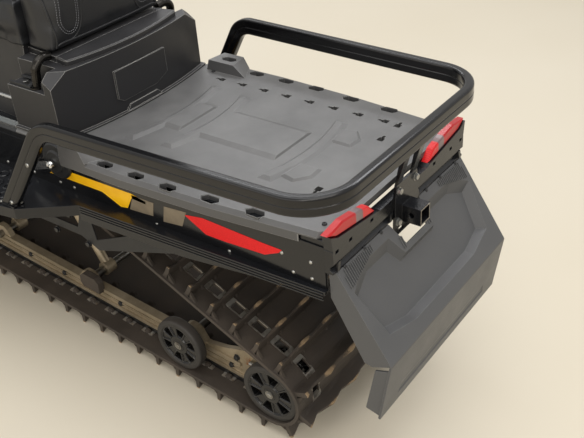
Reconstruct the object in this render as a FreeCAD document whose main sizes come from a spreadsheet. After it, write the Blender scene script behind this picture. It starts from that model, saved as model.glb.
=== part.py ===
import FreeCAD, Part
import math
import os
import re

import Sketcher
from FreeCAD import Placement, Rotation, Vector

# A wide-track utility snowmobile for two. X runs forward, Y to the rider's left, Z up.
# Stations are measured forward from a datum just ahead of the rear axle. Everything that
# is fixed to the tunnel is drawn in the tunnel's own frame, which is pitched nose-down
# about the datum; the track, its suspension and the front end are drawn level.

doc = FreeCAD.newDocument("Snowmobile")
sheet = doc.addObject("Spreadsheet::Sheet", "Dimensions")

DIMENSIONS = [
    ("tail_station", 353, "snow flap's rearmost point behind the datum"),
    ("nose_station", 2979, "ski tips ahead of the datum"),
    ("tunnel_pitch", 4.57, "nose-down pitch of the tunnel, degrees"),
    ("seat_gap", 0.3, "clearance between curved or soft pieces that seat on each other"),
    ("panel_gap", 0.8, "seam between two cover panels"),
    # tunnel and running boards
    ("track_clearance", 7, "tunnel's outer face beyond the track's edge, each side"),
    ("tunnel_wall", 3, "tunnel sheet"),
    ("tunnel_tail", 241, "tunnel's rear edge behind the datum"),
    ("tunnel_nose", 1690, "tunnel's front wall"),
    ("tunnel_roof", 641, "tunnel's top face"),
    ("rear_pivot_station", 800, "rear suspension arm's pivot in the tunnel"),
    ("front_pivot_station", 1230, "front suspension arm's pivot in the tunnel"),
    ("tunnel_tall", 121, "depth of the tunnel's walls"),
    ("pivot_drop", 46, "suspension pivots below the walls' edge"),
    ("drop_start", 1150, "where the walls drop for the drive axle"),
    ("drop_tall", 90, "how far the walls drop there"),
    ("board_rise", 8, "top of the running boards above the walls' edge"),
    ("board_thick", 6, "running board sheet"),
    ("board_lip", 41, "depth of the running board's ribbed edge"),
    ("lip_thick", 7, "thickness of that edge"),
    ("board_tail_over", 12, "running board beyond the tunnel at the tail"),
    ("board_step_over", 43, "running board beyond the tunnel where the narrow part ends"),
    ("board_foot_over", 208, "running board beyond the tunnel at the foot rests"),
    ("board_step", 441, "station where the board widens"),
    ("board_front", 1340, "front end of the running boards"),
    ("brace_thick", 4, "brace under the running board"),
    ("brace_depth", 139, "depth of the brace below the board"),
    ("side_panel_thick", 3, "coloured side panel on the tunnel wall"),
    ("side_panel_front", 1290, "front edge of the side panels"),
    # cargo deck and rack
    ("deck_thick", 12, "moulded deck"),
    ("deck_skirt", 17, "skirt below the tunnel's roof"),
    ("deck_mid_over", 38, "deck beyond the tunnel at the storage box"),
    ("deck_rib", 5, "raised ribs and pads on the deck"),
    ("deck_edge", 9, "bevel along the deck's sides"),
    ("boss_tall", 27, "anchor bosses at the deck's front corners"),
    ("anchor_width", 52, "hexagonal cargo anchor, end to end"),
    ("anchor_depth", 25, "hexagonal cargo anchor, across"),
    ("anchor_over", 15, "anchor row beyond the tunnel's wall"),
    ("slot_pitch", 71.2, "spacing of the keyhole slots"),
    ("slot_line", 204, "keyhole row from the centre line"),
    ("rack_height", 95, "rack rail's middle above the deck"),
    ("rack_over", 59, "rack rail's middle beyond the tunnel's wall, at the tail"),
    ("rack_flare", 30, "how much farther out the rack is at its front bend"),
    ("rack_overhang", 41, "rack's rear bar behind the tunnel's rear edge"),
    ("rail_wide", 23, "rack rail section, across"),
    ("rail_tall", 43, "rack rail section, upright"),
    ("rack_corner", 105, "bend radius of the rack's rear corners"),
    # tail
    ("bracket_deep", 21, "tail bracket, fore and aft"),
    ("bracket_over", 8, "tail bracket beyond the tunnel's wall"),
    ("bracket_inset", 12, "top edge of the tail bracket below the tunnel's roof"),
    ("bracket_drop", 66, "lower edge of the tail bracket below the tunnel's roof"),
    ("receiver_side", 40, "hitch receiver tube, outside"),
    ("receiver_bore", 33, "hitch receiver tube, inside"),
    ("receiver_overhang", 71, "receiver's mouth behind the tunnel's rear edge"),
    ("receiver_drop", 60, "receiver's middle below the tunnel's roof"),
    ("pin_hole", 13, "hitch pin's hole through the receiver"),
    ("flap_thick", 5, "snow flap"),
    ("flap_knee_overhang", 144, "flap's bend behind the tunnel's rear edge"),
    ("flap_knee_height", 387, "height where the flap bends"),
    ("flap_foot_overhang", 120, "flap's lower edge behind the tunnel's rear edge"),
    ("recess_deep", 18, "sunken panel of the flap"),
    ("flap_low", 238, "lower edge of the flap"),
    # storage box and seats
    ("box_tail", 490, "storage box, rear wall on the centre line"),
    ("box_bow", 30, "how far the rear wall's ends stand ahead of its middle"),
    ("box_length", 190, "storage box, fore and aft"),
    ("box_half", 250, "storage box, half width"),
    ("box_shoulder", 46, "facet at the box's rear corners, across"),
    ("ledge_drop", 49, "ledge along the box's sides below its rim"),
    ("box_tall", 162, "storage box's rim above the deck"),
    ("box_wall", 5, "storage box wall"),
    ("lid_thick", 15, "storage lid"),
    ("lid_length", 69, "lid, fore and aft on the centre line"),
    ("lid_half", 187, "half width of the lid"),
    ("seat_rise", 23, "underside of the cushions above the box's rim"),
    ("seat_base_length", 720, "seat's shell, fore and aft"),
    ("backrest_thick", 92, "backrest at its foot"),
    ("backrest_tall", 432, "backrest above the underside of the cushions"),
    ("cushion_length", 320, "passenger's cushion, fore and aft"),
    ("cushion_tall", 107, "passenger's cushion"),
    ("cushion_half", 198, "half width of the passenger's cushion"),
    ("rider_tall", 67, "rider's cushion"),
    ("grab_tube", 11, "grab handle tube, radius"),
    # track and its suspension, level frame
    ("track_half", 255, "half width of the track"),
    ("belt_thick", 9, "track belt"),
    ("lug_tall", 38, "track lug"),
    ("lug_inset", 6, "lug ends in from the belt's edge"),
    ("lug_count", 54, "lugs round the loop"),
    ("window_line", 182, "windows in the belt, from the centre line"),
    ("window_wide", 27, "window across the belt"),
    ("window_long", 36, "window along the belt"),
    ("rear_wheel_radius", 80, "rear idler wheel over its tyre"),
    ("rear_axle_station", -35, "rear axle"),
    ("mid_wheel_radius", 74, "middle idler wheel over its tyre"),
    ("mid_axle_station", 254, "middle axle"),
    ("top_wheel_radius", 65, "upper idler wheel over its tyre"),
    ("top_axle_station", 690, "upper idler axle"),
    ("top_axle_height", 410, "height of the upper idler axle"),
    ("drive_station", 1520, "drive axle"),
    ("drive_height", 345, "height of the drive axle"),
    ("drive_radius", 88, "drive sprocket at the belt"),
    ("nose_bend", 300, "radius to which the rails bend up in front"),
    ("rail_nose", 1125, "station where the rails begin to bend up"),
    ("wheel_width", 27, "idler wheel, across its tyre"),
    ("slide_rail_line", 185, "slide rail from the centre line"),
    ("slide_rail_thick", 11, "slide rail web"),
    ("slide_rail_tall", 92, "slide rail height"),
    ("slider_tall", 12, "plastic slider under the rail"),
    ("axle_radius", 11, "suspension cross shafts"),
    # front end, level frame
    ("steer_station", 2350, "ski bolt"),
    ("ski_line", 487, "ski's middle from the centre line"),
    ("ski_wide", 140, "ski width"),
    ("ski_tail", 1735, "rear end of the ski"),
    ("ski_thick", 16, "ski body"),
    ("ski_bolt_height", 105, "ski bolt above the floor"),
    ("spindle_rake", 10, "rearward lean of the ski posts, degrees"),
    ("spindle_line", 470, "ski post from the centre line"),
    ("frame_half", 160, "half width of the front frame"),
    ("hood_wall", 6, "hood and cowl moulding"),
    ("bar_half", 380, "half width of the handlebar"),
    ("bar_tube", 11, "handlebar tube, radius"),
    ("steering_rake", 30.7, "lean of the steering column, degrees"),
    ("shield_top", 1420, "top of the windshield"),
    ("shield_thick", 4, "windshield sheet"),
]

for line, (alias, number, note) in enumerate(DIMENSIONS, start=1):
    sheet.set(f"A{line}", note)
    sheet.set(f"B{line}", str(number))
    sheet.setAlias(f"B{line}", alias)
doc.recompute()

# Sizes that follow from the ones above.
FOLLOWS = {
    "tunnel_half": "track_half + track_clearance",
    "tunnel_sill": "tunnel_roof - tunnel_tall",
    "drop_sill": "tunnel_sill - drop_tall",
    "arm_pivot_height": "tunnel_sill - pivot_drop",
    "board_top": "tunnel_sill + board_rise",
    "board_tail_half": "tunnel_half + board_tail_over",
    "board_step_half": "tunnel_half + board_step_over",
    "board_foot_half": "tunnel_half + board_foot_over",
    "deck_top": "tunnel_roof + deck_thick",
    "deck_front": "box_tail + box_length",
    "deck_tail_half": "tunnel_half",
    "deck_mid_half": "tunnel_half + deck_mid_over",
    "anchor_line": "tunnel_half + anchor_over",
    "rack_half": "tunnel_half + rack_over",
    "rack_tail": "tunnel_tail + rack_overhang",
    "bracket_half": "tunnel_half + bracket_over",
    "bracket_low": "tunnel_roof - bracket_drop",
    "bracket_top": "tunnel_roof - bracket_inset",
    "receiver_reach": "tunnel_tail + receiver_overhang",
    "receiver_height": "tunnel_roof - receiver_drop",
    "flap_half": "tunnel_half",
    "flap_knee_back": "tunnel_tail + flap_knee_overhang",
    "flap_foot_back": "tunnel_tail + flap_foot_overhang",
    "box_front": "box_tail + box_length",
    "box_top": "deck_top + box_tall",
    "lid_tail": "box_tail + 7",
    "lid_hinge": "lid_tail + lid_length",
    "seat_floor": "box_top + seat_rise",
    "seat_base_front": "box_front + seat_base_length",
    "backrest_tail": "lid_hinge + 6",
    "passenger_tail": "backrest_tail + backrest_thick + seat_gap",
    "passenger_front": "passenger_tail + cushion_length",
    "passenger_top": "seat_floor + cushion_tall",
    "rider_top": "seat_floor + rider_tall",
    "backrest_top": "seat_floor + backrest_tall",
}

FUNCTIONS = {"sin", "cos", "tan", "atan", "sqrt", "max", "min", "abs"}
nodes = []


def bind(expression):
    """An expression in the sheet's aliases, written the way the document reads it."""
    def written(match):
        word = match.group(0)
        if word in FOLLOWS:
            return f"({bind(FOLLOWS[word])})"
        return word if word in FUNCTIONS else f"Dimensions.{word}"
    return re.sub(r"[a-z]\w*", written, str(expression))


def value(expression):
    """The number that an expression in the sheet's aliases stands for."""
    if isinstance(expression, (int, float)):
        return float(expression)
    return float(sheet.evalExpression(bind(expression)))


def tie(thing, path, expression):
    """Bind one property to the sheet, unless it is a plain number."""
    if isinstance(expression, str) and re.search("[a-z]", expression):
        thing.setExpression(path, bind(expression))


SHIFT = "(tail_station - nose_station) / 2"


def place(thing, frame):
    """Put a sub-part in the tunnel's pitched frame or in the level frame."""
    angle = value("tunnel_pitch") if frame == "tunnel" else 0
    thing.Placement = Placement(Vector(value(SHIFT), 0, 0), Rotation(Vector(0, 1, 0), angle))
    tie(thing, "Placement.Base.x", SHIFT)
    if frame == "tunnel":
        tie(thing, "Placement.Rotation.Angle", "tunnel_pitch")


def keep(thing, label=None):
    """Mark an object as a sub-part of its own."""
    if label:
        thing.Label = label
    nodes.append(thing)
    return thing


def new_body(label, frame):
    body = doc.addObject("PartDesign::Body", label)
    body.Label = label
    place(body, frame)
    return body


def new_sketch(body, role, offset=0):
    """A sketch on one of the body's own planes, moved along its normal."""
    plane = next(f for f in body.Origin.OriginFeatures if f.Role == role)
    sketch = body.newObject("Sketcher::SketchObject", "Outline")
    sketch.AttachmentSupport = (plane, [""])
    sketch.MapMode = "FlatFace"
    sketch.AttachmentOffset = Placement(Vector(0, 0, value(offset)), Rotation())
    tie(sketch, "AttachmentOffset.Base.z", offset)
    return sketch


def pin_point(sketch, geometry, end, across, up):
    for kind, expression in (("DistanceX", across), ("DistanceY", up)):
        index = sketch.addConstraint(Sketcher.Constraint(kind, geometry, end, value(expression)))
        tie(sketch, f"Constraints[{index}]", expression)


def polygon(sketch, corners, bows=None):
    """A closed outline with each corner pinned by its two coordinates.

    An edge between two corners at the same distance along the sketch's first axis can be an
    arc: bows gives, by the edge's number, how far its middle stands along that axis.
    """
    bows = bows or {}
    places = [Vector(value(across), value(up), 0) for across, up in corners]
    first = sketch.GeometryCount
    count = len(places)
    starts, ends = [], []
    for i in range(count):
        here, there = places[i], places[(i + 1) % count]
        bow = value(bows.get(i, 0))
        if not bow:
            sketch.addGeometry(Part.LineSegment(here, there), False)
            starts.append(1)
            ends.append(2)
            continue
        arc = Part.Arc(here, (here + there) / 2 + Vector(bow, 0, 0), there)
        index = sketch.addGeometry(arc, False)
        forward = (sketch.getPoint(index, 1) - here).Length < (sketch.getPoint(index, 2) - here).Length
        starts.append(1 if forward else 2)
        ends.append(2 if forward else 1)
    for i in range(count):
        following = (i + 1) % count
        sketch.addConstraint(Sketcher.Constraint("Coincident", first + i, ends[i],
                                                 first + following, starts[following]))
    for i, (across, up) in enumerate(corners):
        pin_point(sketch, first + i, starts[i], across, up)
    for i, bow in bows.items():
        if value(bow):
            chord = f"(({corners[(i + 1) % count][1]}) - ({corners[i][1]}))"
            radius = f"({chord} * {chord} / 4 + ({bow}) * ({bow})) / (2 * abs({bow}))"
            index = sketch.addConstraint(Sketcher.Constraint("Radius", first + i, value(radius)))
            tie(sketch, f"Constraints[{index}]", radius)


PLANES = {"side": "XZ_Plane", "plan": "XY_Plane", "cross": "YZ_Plane"}


def bore(body, view, across, up, radius, low, high):
    """Cut a round hole between two distances along the view's axis."""
    sketch = new_sketch(body, PLANES[view], f"-({high})" if view == "side" else low)
    middle = Vector(value(across), value(up), 0)
    index = sketch.addGeometry(Part.Circle(middle, Vector(0, 0, 1), value(radius)), False)
    pin_point(sketch, index, 3, across, up)
    constraint = sketch.addConstraint(Sketcher.Constraint("Radius", index, value(radius)))
    tie(sketch, f"Constraints[{constraint}]", radius)
    return pocket(body, sketch, f"({high}) - ({low})")


def pad(body, sketch, length):
    feature = body.newObject("PartDesign::Pad", "Pad")
    feature.Profile = sketch
    feature.Length = value(length)
    tie(feature, "Length", length)
    return feature


def pocket(body, sketch, length):
    """Cut from the sketch's plane along its normal, the way a pad grows."""
    feature = body.newObject("PartDesign::Pocket", "Pocket")
    feature.Profile = sketch
    feature.Length = value(length)
    feature.Reversed = True
    tie(feature, "Length", length)
    return feature


def block(body, view, corners, low, high, cut=False, bows=None):
    """Pad, or cut, an outline between two distances along the view's axis.

    A side view lies in X and Z and grows along Y, a plan in X and Y along Z, and a cross
    section in Y and Z along X. The side view's plane faces right, so it starts at its left.
    """
    start = f"-({high})" if view == "side" else low
    sketch = new_sketch(body, PLANES[view], start)
    polygon(sketch, corners, bows)
    return (pocket if cut else pad)(body, sketch, f"({high}) - ({low})")


def tapered(body, low_corners, low, high_corners, high, bows=None, cut=False):
    """A loft, or a cut, between two plans with as many corners at two heights."""
    outlines = []
    for corners, height in ((low_corners, low), (high_corners, high)):
        sketch = new_sketch(body, "XY_Plane", height)
        polygon(sketch, corners, bows)
        outlines.append(sketch)
    kind = "PartDesign::SubtractiveLoft" if cut else "PartDesign::AdditiveLoft"
    feature = body.newObject(kind, "Taper")
    feature.Profile = outlines[0]
    feature.Sections = outlines[1:]
    feature.Ruled = True
    return feature


def straight_along(axis):
    """A test for straight edges that run along one axis."""
    unit = {"x": Vector(1, 0, 0), "y": Vector(0, 1, 0), "z": Vector(0, 0, 1)}[axis]

    def test(edge):
        if len(edge.Vertexes) != 2 or edge.Curve.TypeId != "Part::GeomLine":
            return False
        run = edge.Vertexes[1].Point - edge.Vertexes[0].Point
        return run.Length > 0 and abs(run.dot(unit)) > 0.999 * run.Length
    return test


def dress(body, kind, amount, test):
    """Fillet or chamfer the edges of the body's last feature that pass a test."""
    doc.recompute()
    base = body.Tip
    names = [f"Edge{i + 1}" for i, edge in enumerate(base.Shape.Edges) if test(edge)]
    feature = body.newObject(f"PartDesign::{kind}", kind)
    feature.Base = (base, names)
    where = "Radius" if kind == "Fillet" else "Size"
    setattr(feature, where, value(amount))
    tie(feature, where, amount)
    return feature


def row_of(body, feature, role, spacing, count):
    """Repeat a feature along one of the body's axes; a negative spacing turns it round."""
    axis = next(f for f in body.Origin.OriginFeatures if f.Role == role)
    pattern = body.newObject("PartDesign::LinearPattern", "Row")
    pattern.Originals = [feature]
    pattern.Direction = (axis, [""])
    pattern.Reversed = value(spacing) < 0
    pattern.Length = abs(value(spacing)) * (count - 1)
    tie(pattern, "Length", f"abs({spacing}) * {count - 1}")
    pattern.Occurrences = count
    body.Tip = pattern
    return pattern


def mirrored(source, label):
    """The right-hand copy of a left-hand piece."""
    copy = doc.addObject("Part::Mirroring", label)
    copy.Label = label
    copy.Source = source
    copy.Normal = Vector(0, 1, 0)
    return copy


def both_sides(source, label):
    """One sub-part that holds a left-hand piece and its mirror image."""
    pair = doc.addObject("Part::Compound", label)
    pair.Label = label
    pair.Links = [source, mirrored(source, label + "_mirror")]
    return pair


def shaped(label, frame, shape):
    """A sub-part whose shape is worked out below, at its frame."""
    thing = doc.addObject("Part::Feature", label)
    thing.Label = label
    thing.Shape = shape if shape.Placement.isIdentity() else Part.makeCompound([shape])
    place(thing, frame)
    return thing


def v(x, y, z):
    return Vector(value(x), value(y), value(z))


def bent_path(points, radii):
    """Straight runs through the points, joined at each inner point by a tangent arc."""
    edges = []
    start = points[0]
    for before, corner, after, radius in zip(points, points[1:], points[2:], radii):
        back = (before - corner).normalize()
        ahead = (after - corner).normalize()
        half = back.getAngle(ahead) / 2
        trim = radius / math.tan(half)
        middle = (back + ahead).normalize()
        enter, leave = corner + back * trim, corner + ahead * trim
        crown = corner + middle * (radius / math.sin(half) - radius)
        edges.append(Part.LineSegment(start, enter).toShape())
        edges.append(Part.Arc(enter, crown, leave).toShape())
        start = leave
    edges.append(Part.LineSegment(start, points[-1]).toShape())
    return Part.Wire(edges)


def round_tube(points, radii, radius, bore=0):
    """A round tube or rod along a bent path."""
    path = bent_path(points, radii)
    ahead = points[1] - points[0]
    rings = [Part.Wire(Part.makeCircle(r, points[0], ahead)) for r in (radius, bore) if r]
    solids = [path.makePipeShell([ring], True, False) for ring in rings]
    return solids[0].cut(solids[1]) if bore else solids[0]


def rod(start, end, radius):
    run = end - start
    return Part.makeCylinder(radius, run.Length, start, run)


def box_between(low, high):
    size = high - low
    return Part.makeBox(size.x, size.y, size.z, low)


def fused(shapes):
    whole = shapes[0].fuse(shapes[1:]) if len(shapes) > 1 else shapes[0]
    return whole.removeSplitter()


# ---------------------------------------------------------------- tunnel
# A folded sheet box, open below, that covers the track and carries the whole rear half.
tunnel = new_body("tunnel", "tunnel")
block(tunnel, "side", [("-tunnel_tail", "tunnel_sill"), ("rear_pivot_station - 60", "tunnel_sill"),
                       ("rear_pivot_station - 26", "arm_pivot_height - 24"),
                       ("rear_pivot_station + 26", "arm_pivot_height - 24"),
                       ("rear_pivot_station + 60", "tunnel_sill"), ("drop_start", "tunnel_sill"),
                       ("drop_start + 90", "drop_sill"), ("tunnel_nose", "drop_sill"),
                       ("tunnel_nose", "tunnel_roof"), ("-tunnel_tail", "tunnel_roof")],
      "-tunnel_half", "tunnel_half")
block(tunnel, "side", [("-tunnel_tail - 5", "drop_sill - 5"), ("tunnel_nose - tunnel_wall", "drop_sill - 5"),
                       ("tunnel_nose - tunnel_wall", "tunnel_roof - tunnel_wall"),
                       ("-tunnel_tail - 5", "tunnel_roof - tunnel_wall")],
      "-tunnel_half + tunnel_wall", "tunnel_half - tunnel_wall", cut=True)
keep(tunnel)

# ---------------------------------------------------------------- running boards
# Each is a flanged sheet under the tunnel wall's edge with a deep ribbed outer edge.
BOARD_OUTER = [("-tunnel_tail", "board_tail_half"), ("board_step", "board_step_half"),
               ("board_step + 123", "board_step_half + 91"), ("board_step + 159", "board_step_half + 97"),
               ("board_front - 380", "board_foot_half"),
               ("board_front - 40", "board_foot_half"), ("board_front", "board_foot_half - 60")]


def board_outline(inset):
    """The board's plan, with its outer edge drawn in by an inset."""
    return [(x, f"{y} - ({inset})") for x, y in BOARD_OUTER]


left_board = new_body("left_running_board", "tunnel")
inner_edge = "tunnel_half"
block(left_board, "plan", board_outline("0") + [("board_front", inner_edge), ("-tunnel_tail", inner_edge)],
      "board_top - board_thick", "board_top")
block(left_board, "plan", board_outline("0") + list(reversed(board_outline("lip_thick"))),
      "board_top - board_lip", "board_top - board_thick")
# the edge is shallower ahead of the step, and tapers away towards the tail
under_lip = "board_top - board_lip - 1"
block(left_board, "side", [("board_step", under_lip), ("board_front + 5", under_lip),
                           ("board_front + 5", "board_top - 28"), ("board_step", "board_top - 28")],
      "tunnel_half - 1", "board_foot_half + 5", cut=True)
block(left_board, "side", [("-tunnel_tail - 5", under_lip), ("140", under_lip),
                           ("-tunnel_tail - 5", "board_top - board_thick - 2")],
      "tunnel_half - 1", "board_foot_half + 5", cut=True)
keep(left_board)
keep(mirrored(left_board, "right_running_board"))

# ---------------------------------------------------------------- board braces
# A pierced triangular plate under each board carries its load to the tunnel.
brace = new_body("brace_plate", "tunnel")
brace_top = "board_top - board_thick"
brace_out = "board_tail_half + brace_thick"
block(brace, "side", [("100", brace_top), ("700", brace_top), ("660", f"{brace_top} - brace_depth + 25"),
                      ("493", f"{brace_top} - brace_depth + 25"), ("436", f"{brace_top} - brace_depth"),
                      ("140", f"{brace_top} - 40")],
      "board_tail_half", brace_out)
block(brace, "side", [("246", f"{brace_top} - 22"), ("450", f"{brace_top} - 22"),
                      ("437", f"{brace_top} - brace_depth + 30")],
      "board_tail_half", brace_out, cut=True)
block(brace, "side", [("474", f"{brace_top} - 22"), ("650", f"{brace_top} - 22"),
                      ("630", f"{brace_top} - brace_depth + 48"), ("500", f"{brace_top} - brace_depth + 48")],
      "board_tail_half", brace_out, cut=True)
keep(both_sides(brace, "board_braces"))

# ---------------------------------------------------------------- side panels
left_panel = new_body("left_side_panel", "tunnel")
block(left_panel, "side", [("-tunnel_tail + 3", "board_top"), ("side_panel_front", "board_top"),
                           ("side_panel_front", "tunnel_roof - deck_skirt + 4"),
                           ("-tunnel_tail + 3", "tunnel_roof - deck_skirt + 4")],
      "tunnel_half", "tunnel_half + side_panel_thick")
keep(left_panel)
keep(mirrored(left_panel, "right_side_panel"))

# ---------------------------------------------------------------- cargo deck
# One moulding on the tunnel's roof, with a skirt that laps the side panels, hexagonal
# cargo anchors along both edges, keyhole slots for tie-downs, raised ribs and pads, and
# a hollow anchor boss at each front corner.
deck = new_body("cargo_deck", "tunnel")
deck_half = [("-tunnel_tail", "deck_tail_half - 22"), ("-tunnel_tail + 22", "deck_tail_half"),
             ("40", "deck_mid_half - 12"), ("275", "deck_mid_half"), ("box_tail - 12", "deck_mid_half"),
             ("box_tail + 12", "deck_mid_half - 22"), ("box_tail + 30", "tunnel_half"),
             ("deck_front", "tunnel_half")]


def deck_plan(inset):
    """The deck's outline, with its sides drawn in by an inset."""
    left = [(x, f"{y} - ({inset})") for x, y in deck_half]
    return left + [(x, f"-({y})") for x, y in reversed(left)]


block(deck, "plan", deck_plan("0"), "tunnel_roof - deck_skirt", "deck_top - deck_edge")
tapered(deck, deck_plan("0"), "deck_top - deck_edge", deck_plan("deck_edge"), "deck_top")
boss_tail, boss_front = "box_tail - 100", "box_tail - 13"
for side in ("", "-"):
    block(deck, "plan", [(boss_tail, f"{side}(deck_mid_half - 20)"),
                         (boss_front, f"{side}(deck_mid_half - 20)"),
                         (boss_front, f"{side}deck_mid_half"), (boss_tail, f"{side}deck_mid_half")],
          "tunnel_roof", "deck_top - 1")
    tapered(deck, [(f"{boss_tail} - 40", f"{side}(deck_mid_half - 64)"),
                   (f"{boss_front} + 10", f"{side}(deck_mid_half - 64)"),
                   (boss_front, f"{side}deck_mid_half"), (boss_tail, f"{side}deck_mid_half")],
            "deck_top - 2",
            [(f"{boss_tail} + 6", f"{side}(deck_mid_half - 59)"),
             (f"{boss_front} + 4", f"{side}(deck_mid_half - 59)"),
             (f"{boss_front} - 4", f"{side}(deck_mid_half - 1)"),
             (f"{boss_tail} + 16", f"{side}(deck_mid_half - 1)")],
            "deck_top + boss_tall")
wall_room = "tunnel_half + side_panel_thick + 1"
block(deck, "cross", [(f"-({wall_room})", "tunnel_roof - deck_skirt - 2"),
                      (wall_room, "tunnel_roof - deck_skirt - 2"),
                      (wall_room, "tunnel_roof"), (f"-({wall_room})", "tunnel_roof")],
      "-tunnel_tail - 5", "deck_front + 5", cut=True)
rib_top = "deck_top + deck_rib"
# a long raised panel down the middle, crossed by three bowed ribs
for tail, front in ((22, 258), (306, 364)):
    tapered(deck, [(tail, -78), (front, -78), (front, 78), (tail, 78)], "deck_top - 1",
            [(tail + 5, -60), (front - 5, -60), (front - 5, 60), (tail + 5, 60)], rib_top)
for tail, front, half, bow in ((-28, 14, 154, -22), (260, 302, 152, -26), (370, 406, 164, -24)):
    tapered(deck, [(tail, -half), (front, -half), (front, half), (tail, half)], "deck_top - 1",
            [(tail + 12, -half + 14), (front - 12, -half + 14), (front - 12, half - 14),
             (tail + 12, half - 14)], rib_top, bows={1: bow, 3: bow})
anchor_floor = "tunnel_roof - deck_skirt + 4"
for side in (1, -1):
    pad_foot = [(-94, 54), (-34, 54), (-24, 124), (-66, 132), (-98, 96)]
    pad_head = [(-86, 62), (-42, 62), (-36, 116), (-66, 122), (-88, 93)]
    tapered(deck, [(x, side * y) for x, y in pad_foot], "deck_top - 1",
            [(x, side * y) for x, y in pad_head], rib_top)
for side in ("", "-"):
    for station, inward in ((-70, 16), (43, 9), (154, 0), (249, 0), (346, 0), (432, 7)):
        middle = f"{side}(anchor_line - {inward})"
        hexagon = [(f"{station} + ({along}) * anchor_width", f"{middle} + ({across}) * anchor_depth")
                   for along, across in ((-0.5, 0), (-0.3, 0.5), (0.3, 0.5), (0.5, 0),
                                         (0.3, -0.5), (-0.3, -0.5))]
        block(deck, "plan", hexagon, anchor_floor, "deck_top + boss_tall + 3", cut=True)
    head, neck = 8, 3.5
    slot = block(deck, "plan", [("-102", f"{side}slot_line - {head}"), ("-86", f"{side}slot_line - {head}"),
                                ("-86", f"{side}slot_line - {neck}"), ("-74", f"{side}slot_line - {neck}"),
                                ("-74", f"{side}slot_line + {neck}"), ("-86", f"{side}slot_line + {neck}"),
                                ("-86", f"{side}slot_line + {head}"), ("-102", f"{side}slot_line + {head}")],
                 "tunnel_roof - 1", "deck_top + 1", cut=True)
    doc.recompute()
    row_of(deck, slot, "X_Axis", "slot_pitch", 8)
    for middle in ("slot_line - 6", "slot_line - 81"):
        block(deck, "plan", [("-138", f"{side}({middle} - 8)"), ("-122", f"{side}({middle} - 8)"),
                             ("-122", f"{side}({middle} + 8)"), ("-126.5", f"{side}({middle} + 8)"),
                             ("-126.5", f"{side}({middle} + 19)"), ("-133.5", f"{side}({middle} + 19)"),
                             ("-133.5", f"{side}({middle} + 8)"), ("-138", f"{side}({middle} + 8)")],
              "tunnel_roof - 1", "deck_top + 1", cut=True)
keep(deck)

# ---------------------------------------------------------------- cargo rack
# One bent tube with a groove down each face: a long loop round the deck whose ends sweep
# down to the running boards, with two posts from its rear bar to the hitch plate.
foot_plate = 4
hitch_plate = 6


def rail_ring(middle, across, up):
    """The rail's section: a rounded oblong with a shallow groove in its two upright faces."""
    wide, tall = value("rail_wide") / 2, value("rail_tall") / 2
    bend = 0.3 * wide * 2

    def at(a, b):
        return middle + across * a + up * b

    edges = []
    for side in (1, -1):
        low, high = -side * (tall - bend), side * (tall - bend)
        face = side * wide
        stops = [(face, low), (face, -side * 1.6), (face - side * 1.6, 0), (face, side * 1.6), (face, high)]
        edges += [Part.LineSegment(at(*a), at(*b)).toShape() for a, b in zip(stops, stops[1:])]
        share = bend * (1 - math.sqrt(0.5))
        edges.append(Part.Arc(at(face, high), at(face - side * share, side * (tall - share)),
                              at(face - side * bend, side * tall)).toShape())
        edges.append(Part.LineSegment(at(face - side * bend, side * tall),
                                      at(-face + side * bend, side * tall)).toShape())
        edges.append(Part.Arc(at(-face + side * bend, side * tall),
                              at(-face + side * share, side * (tall - share)),
                              at(-face, high)).toShape())
    return Part.Wire(Part.__sortEdges__(edges))


def rack_shape():
    level = value("deck_top + rack_height")
    half = value("rack_half")
    tail = -value("rack_tail")
    board = value("board_top") + foot_plate
    middle = Vector(tail, 0, level)
    shoulder = v("board_step + 8", "rack_half + rack_flare", 0)
    shoulder.z = level
    foot = v("board_step + 149", "rack_half + rack_flare + 29", 0)
    foot.z = board
    lowered = foot + (foot - shoulder).normalize() * 30
    path = bent_path([middle, Vector(tail, half, level), shoulder, lowered], [value("rack_corner"), 70])
    ring = rail_ring(middle, Vector(1, 0, 0), Vector(0, 0, 1))
    arm = path.makePipeShell([ring], True, False)
    arm = arm.cut(box_between(Vector(-5000, -5000, -5000), Vector(5000, 5000, board)))
    arm = arm.fuse(box_between(foot + Vector(-26, -16, -foot_plate), foot + Vector(26, 16, 0)))
    plate_back = -value("tunnel_tail + bracket_deep") - hitch_plate
    plate_top = value("bracket_top") + 30
    under = level - value("rail_tall") / 2 + 4
    profile = [Vector(tail - 6, 0, under), Vector(tail + 6, 0, under),
               Vector(plate_back + hitch_plate, 0, plate_top), Vector(plate_back, 0, plate_top)]
    post = Part.Face(Part.makePolygon(profile + profile[:1])).extrude(Vector(0, 20, 0))
    post.translate(Vector(0, 21, 0))
    half_rack = arm.fuse(post)
    return fused([half_rack, half_rack.mirror(Vector(0, 0, 0), Vector(0, 1, 0))])


keep(shaped("cargo_rack", "tunnel", rack_shape()))

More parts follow.
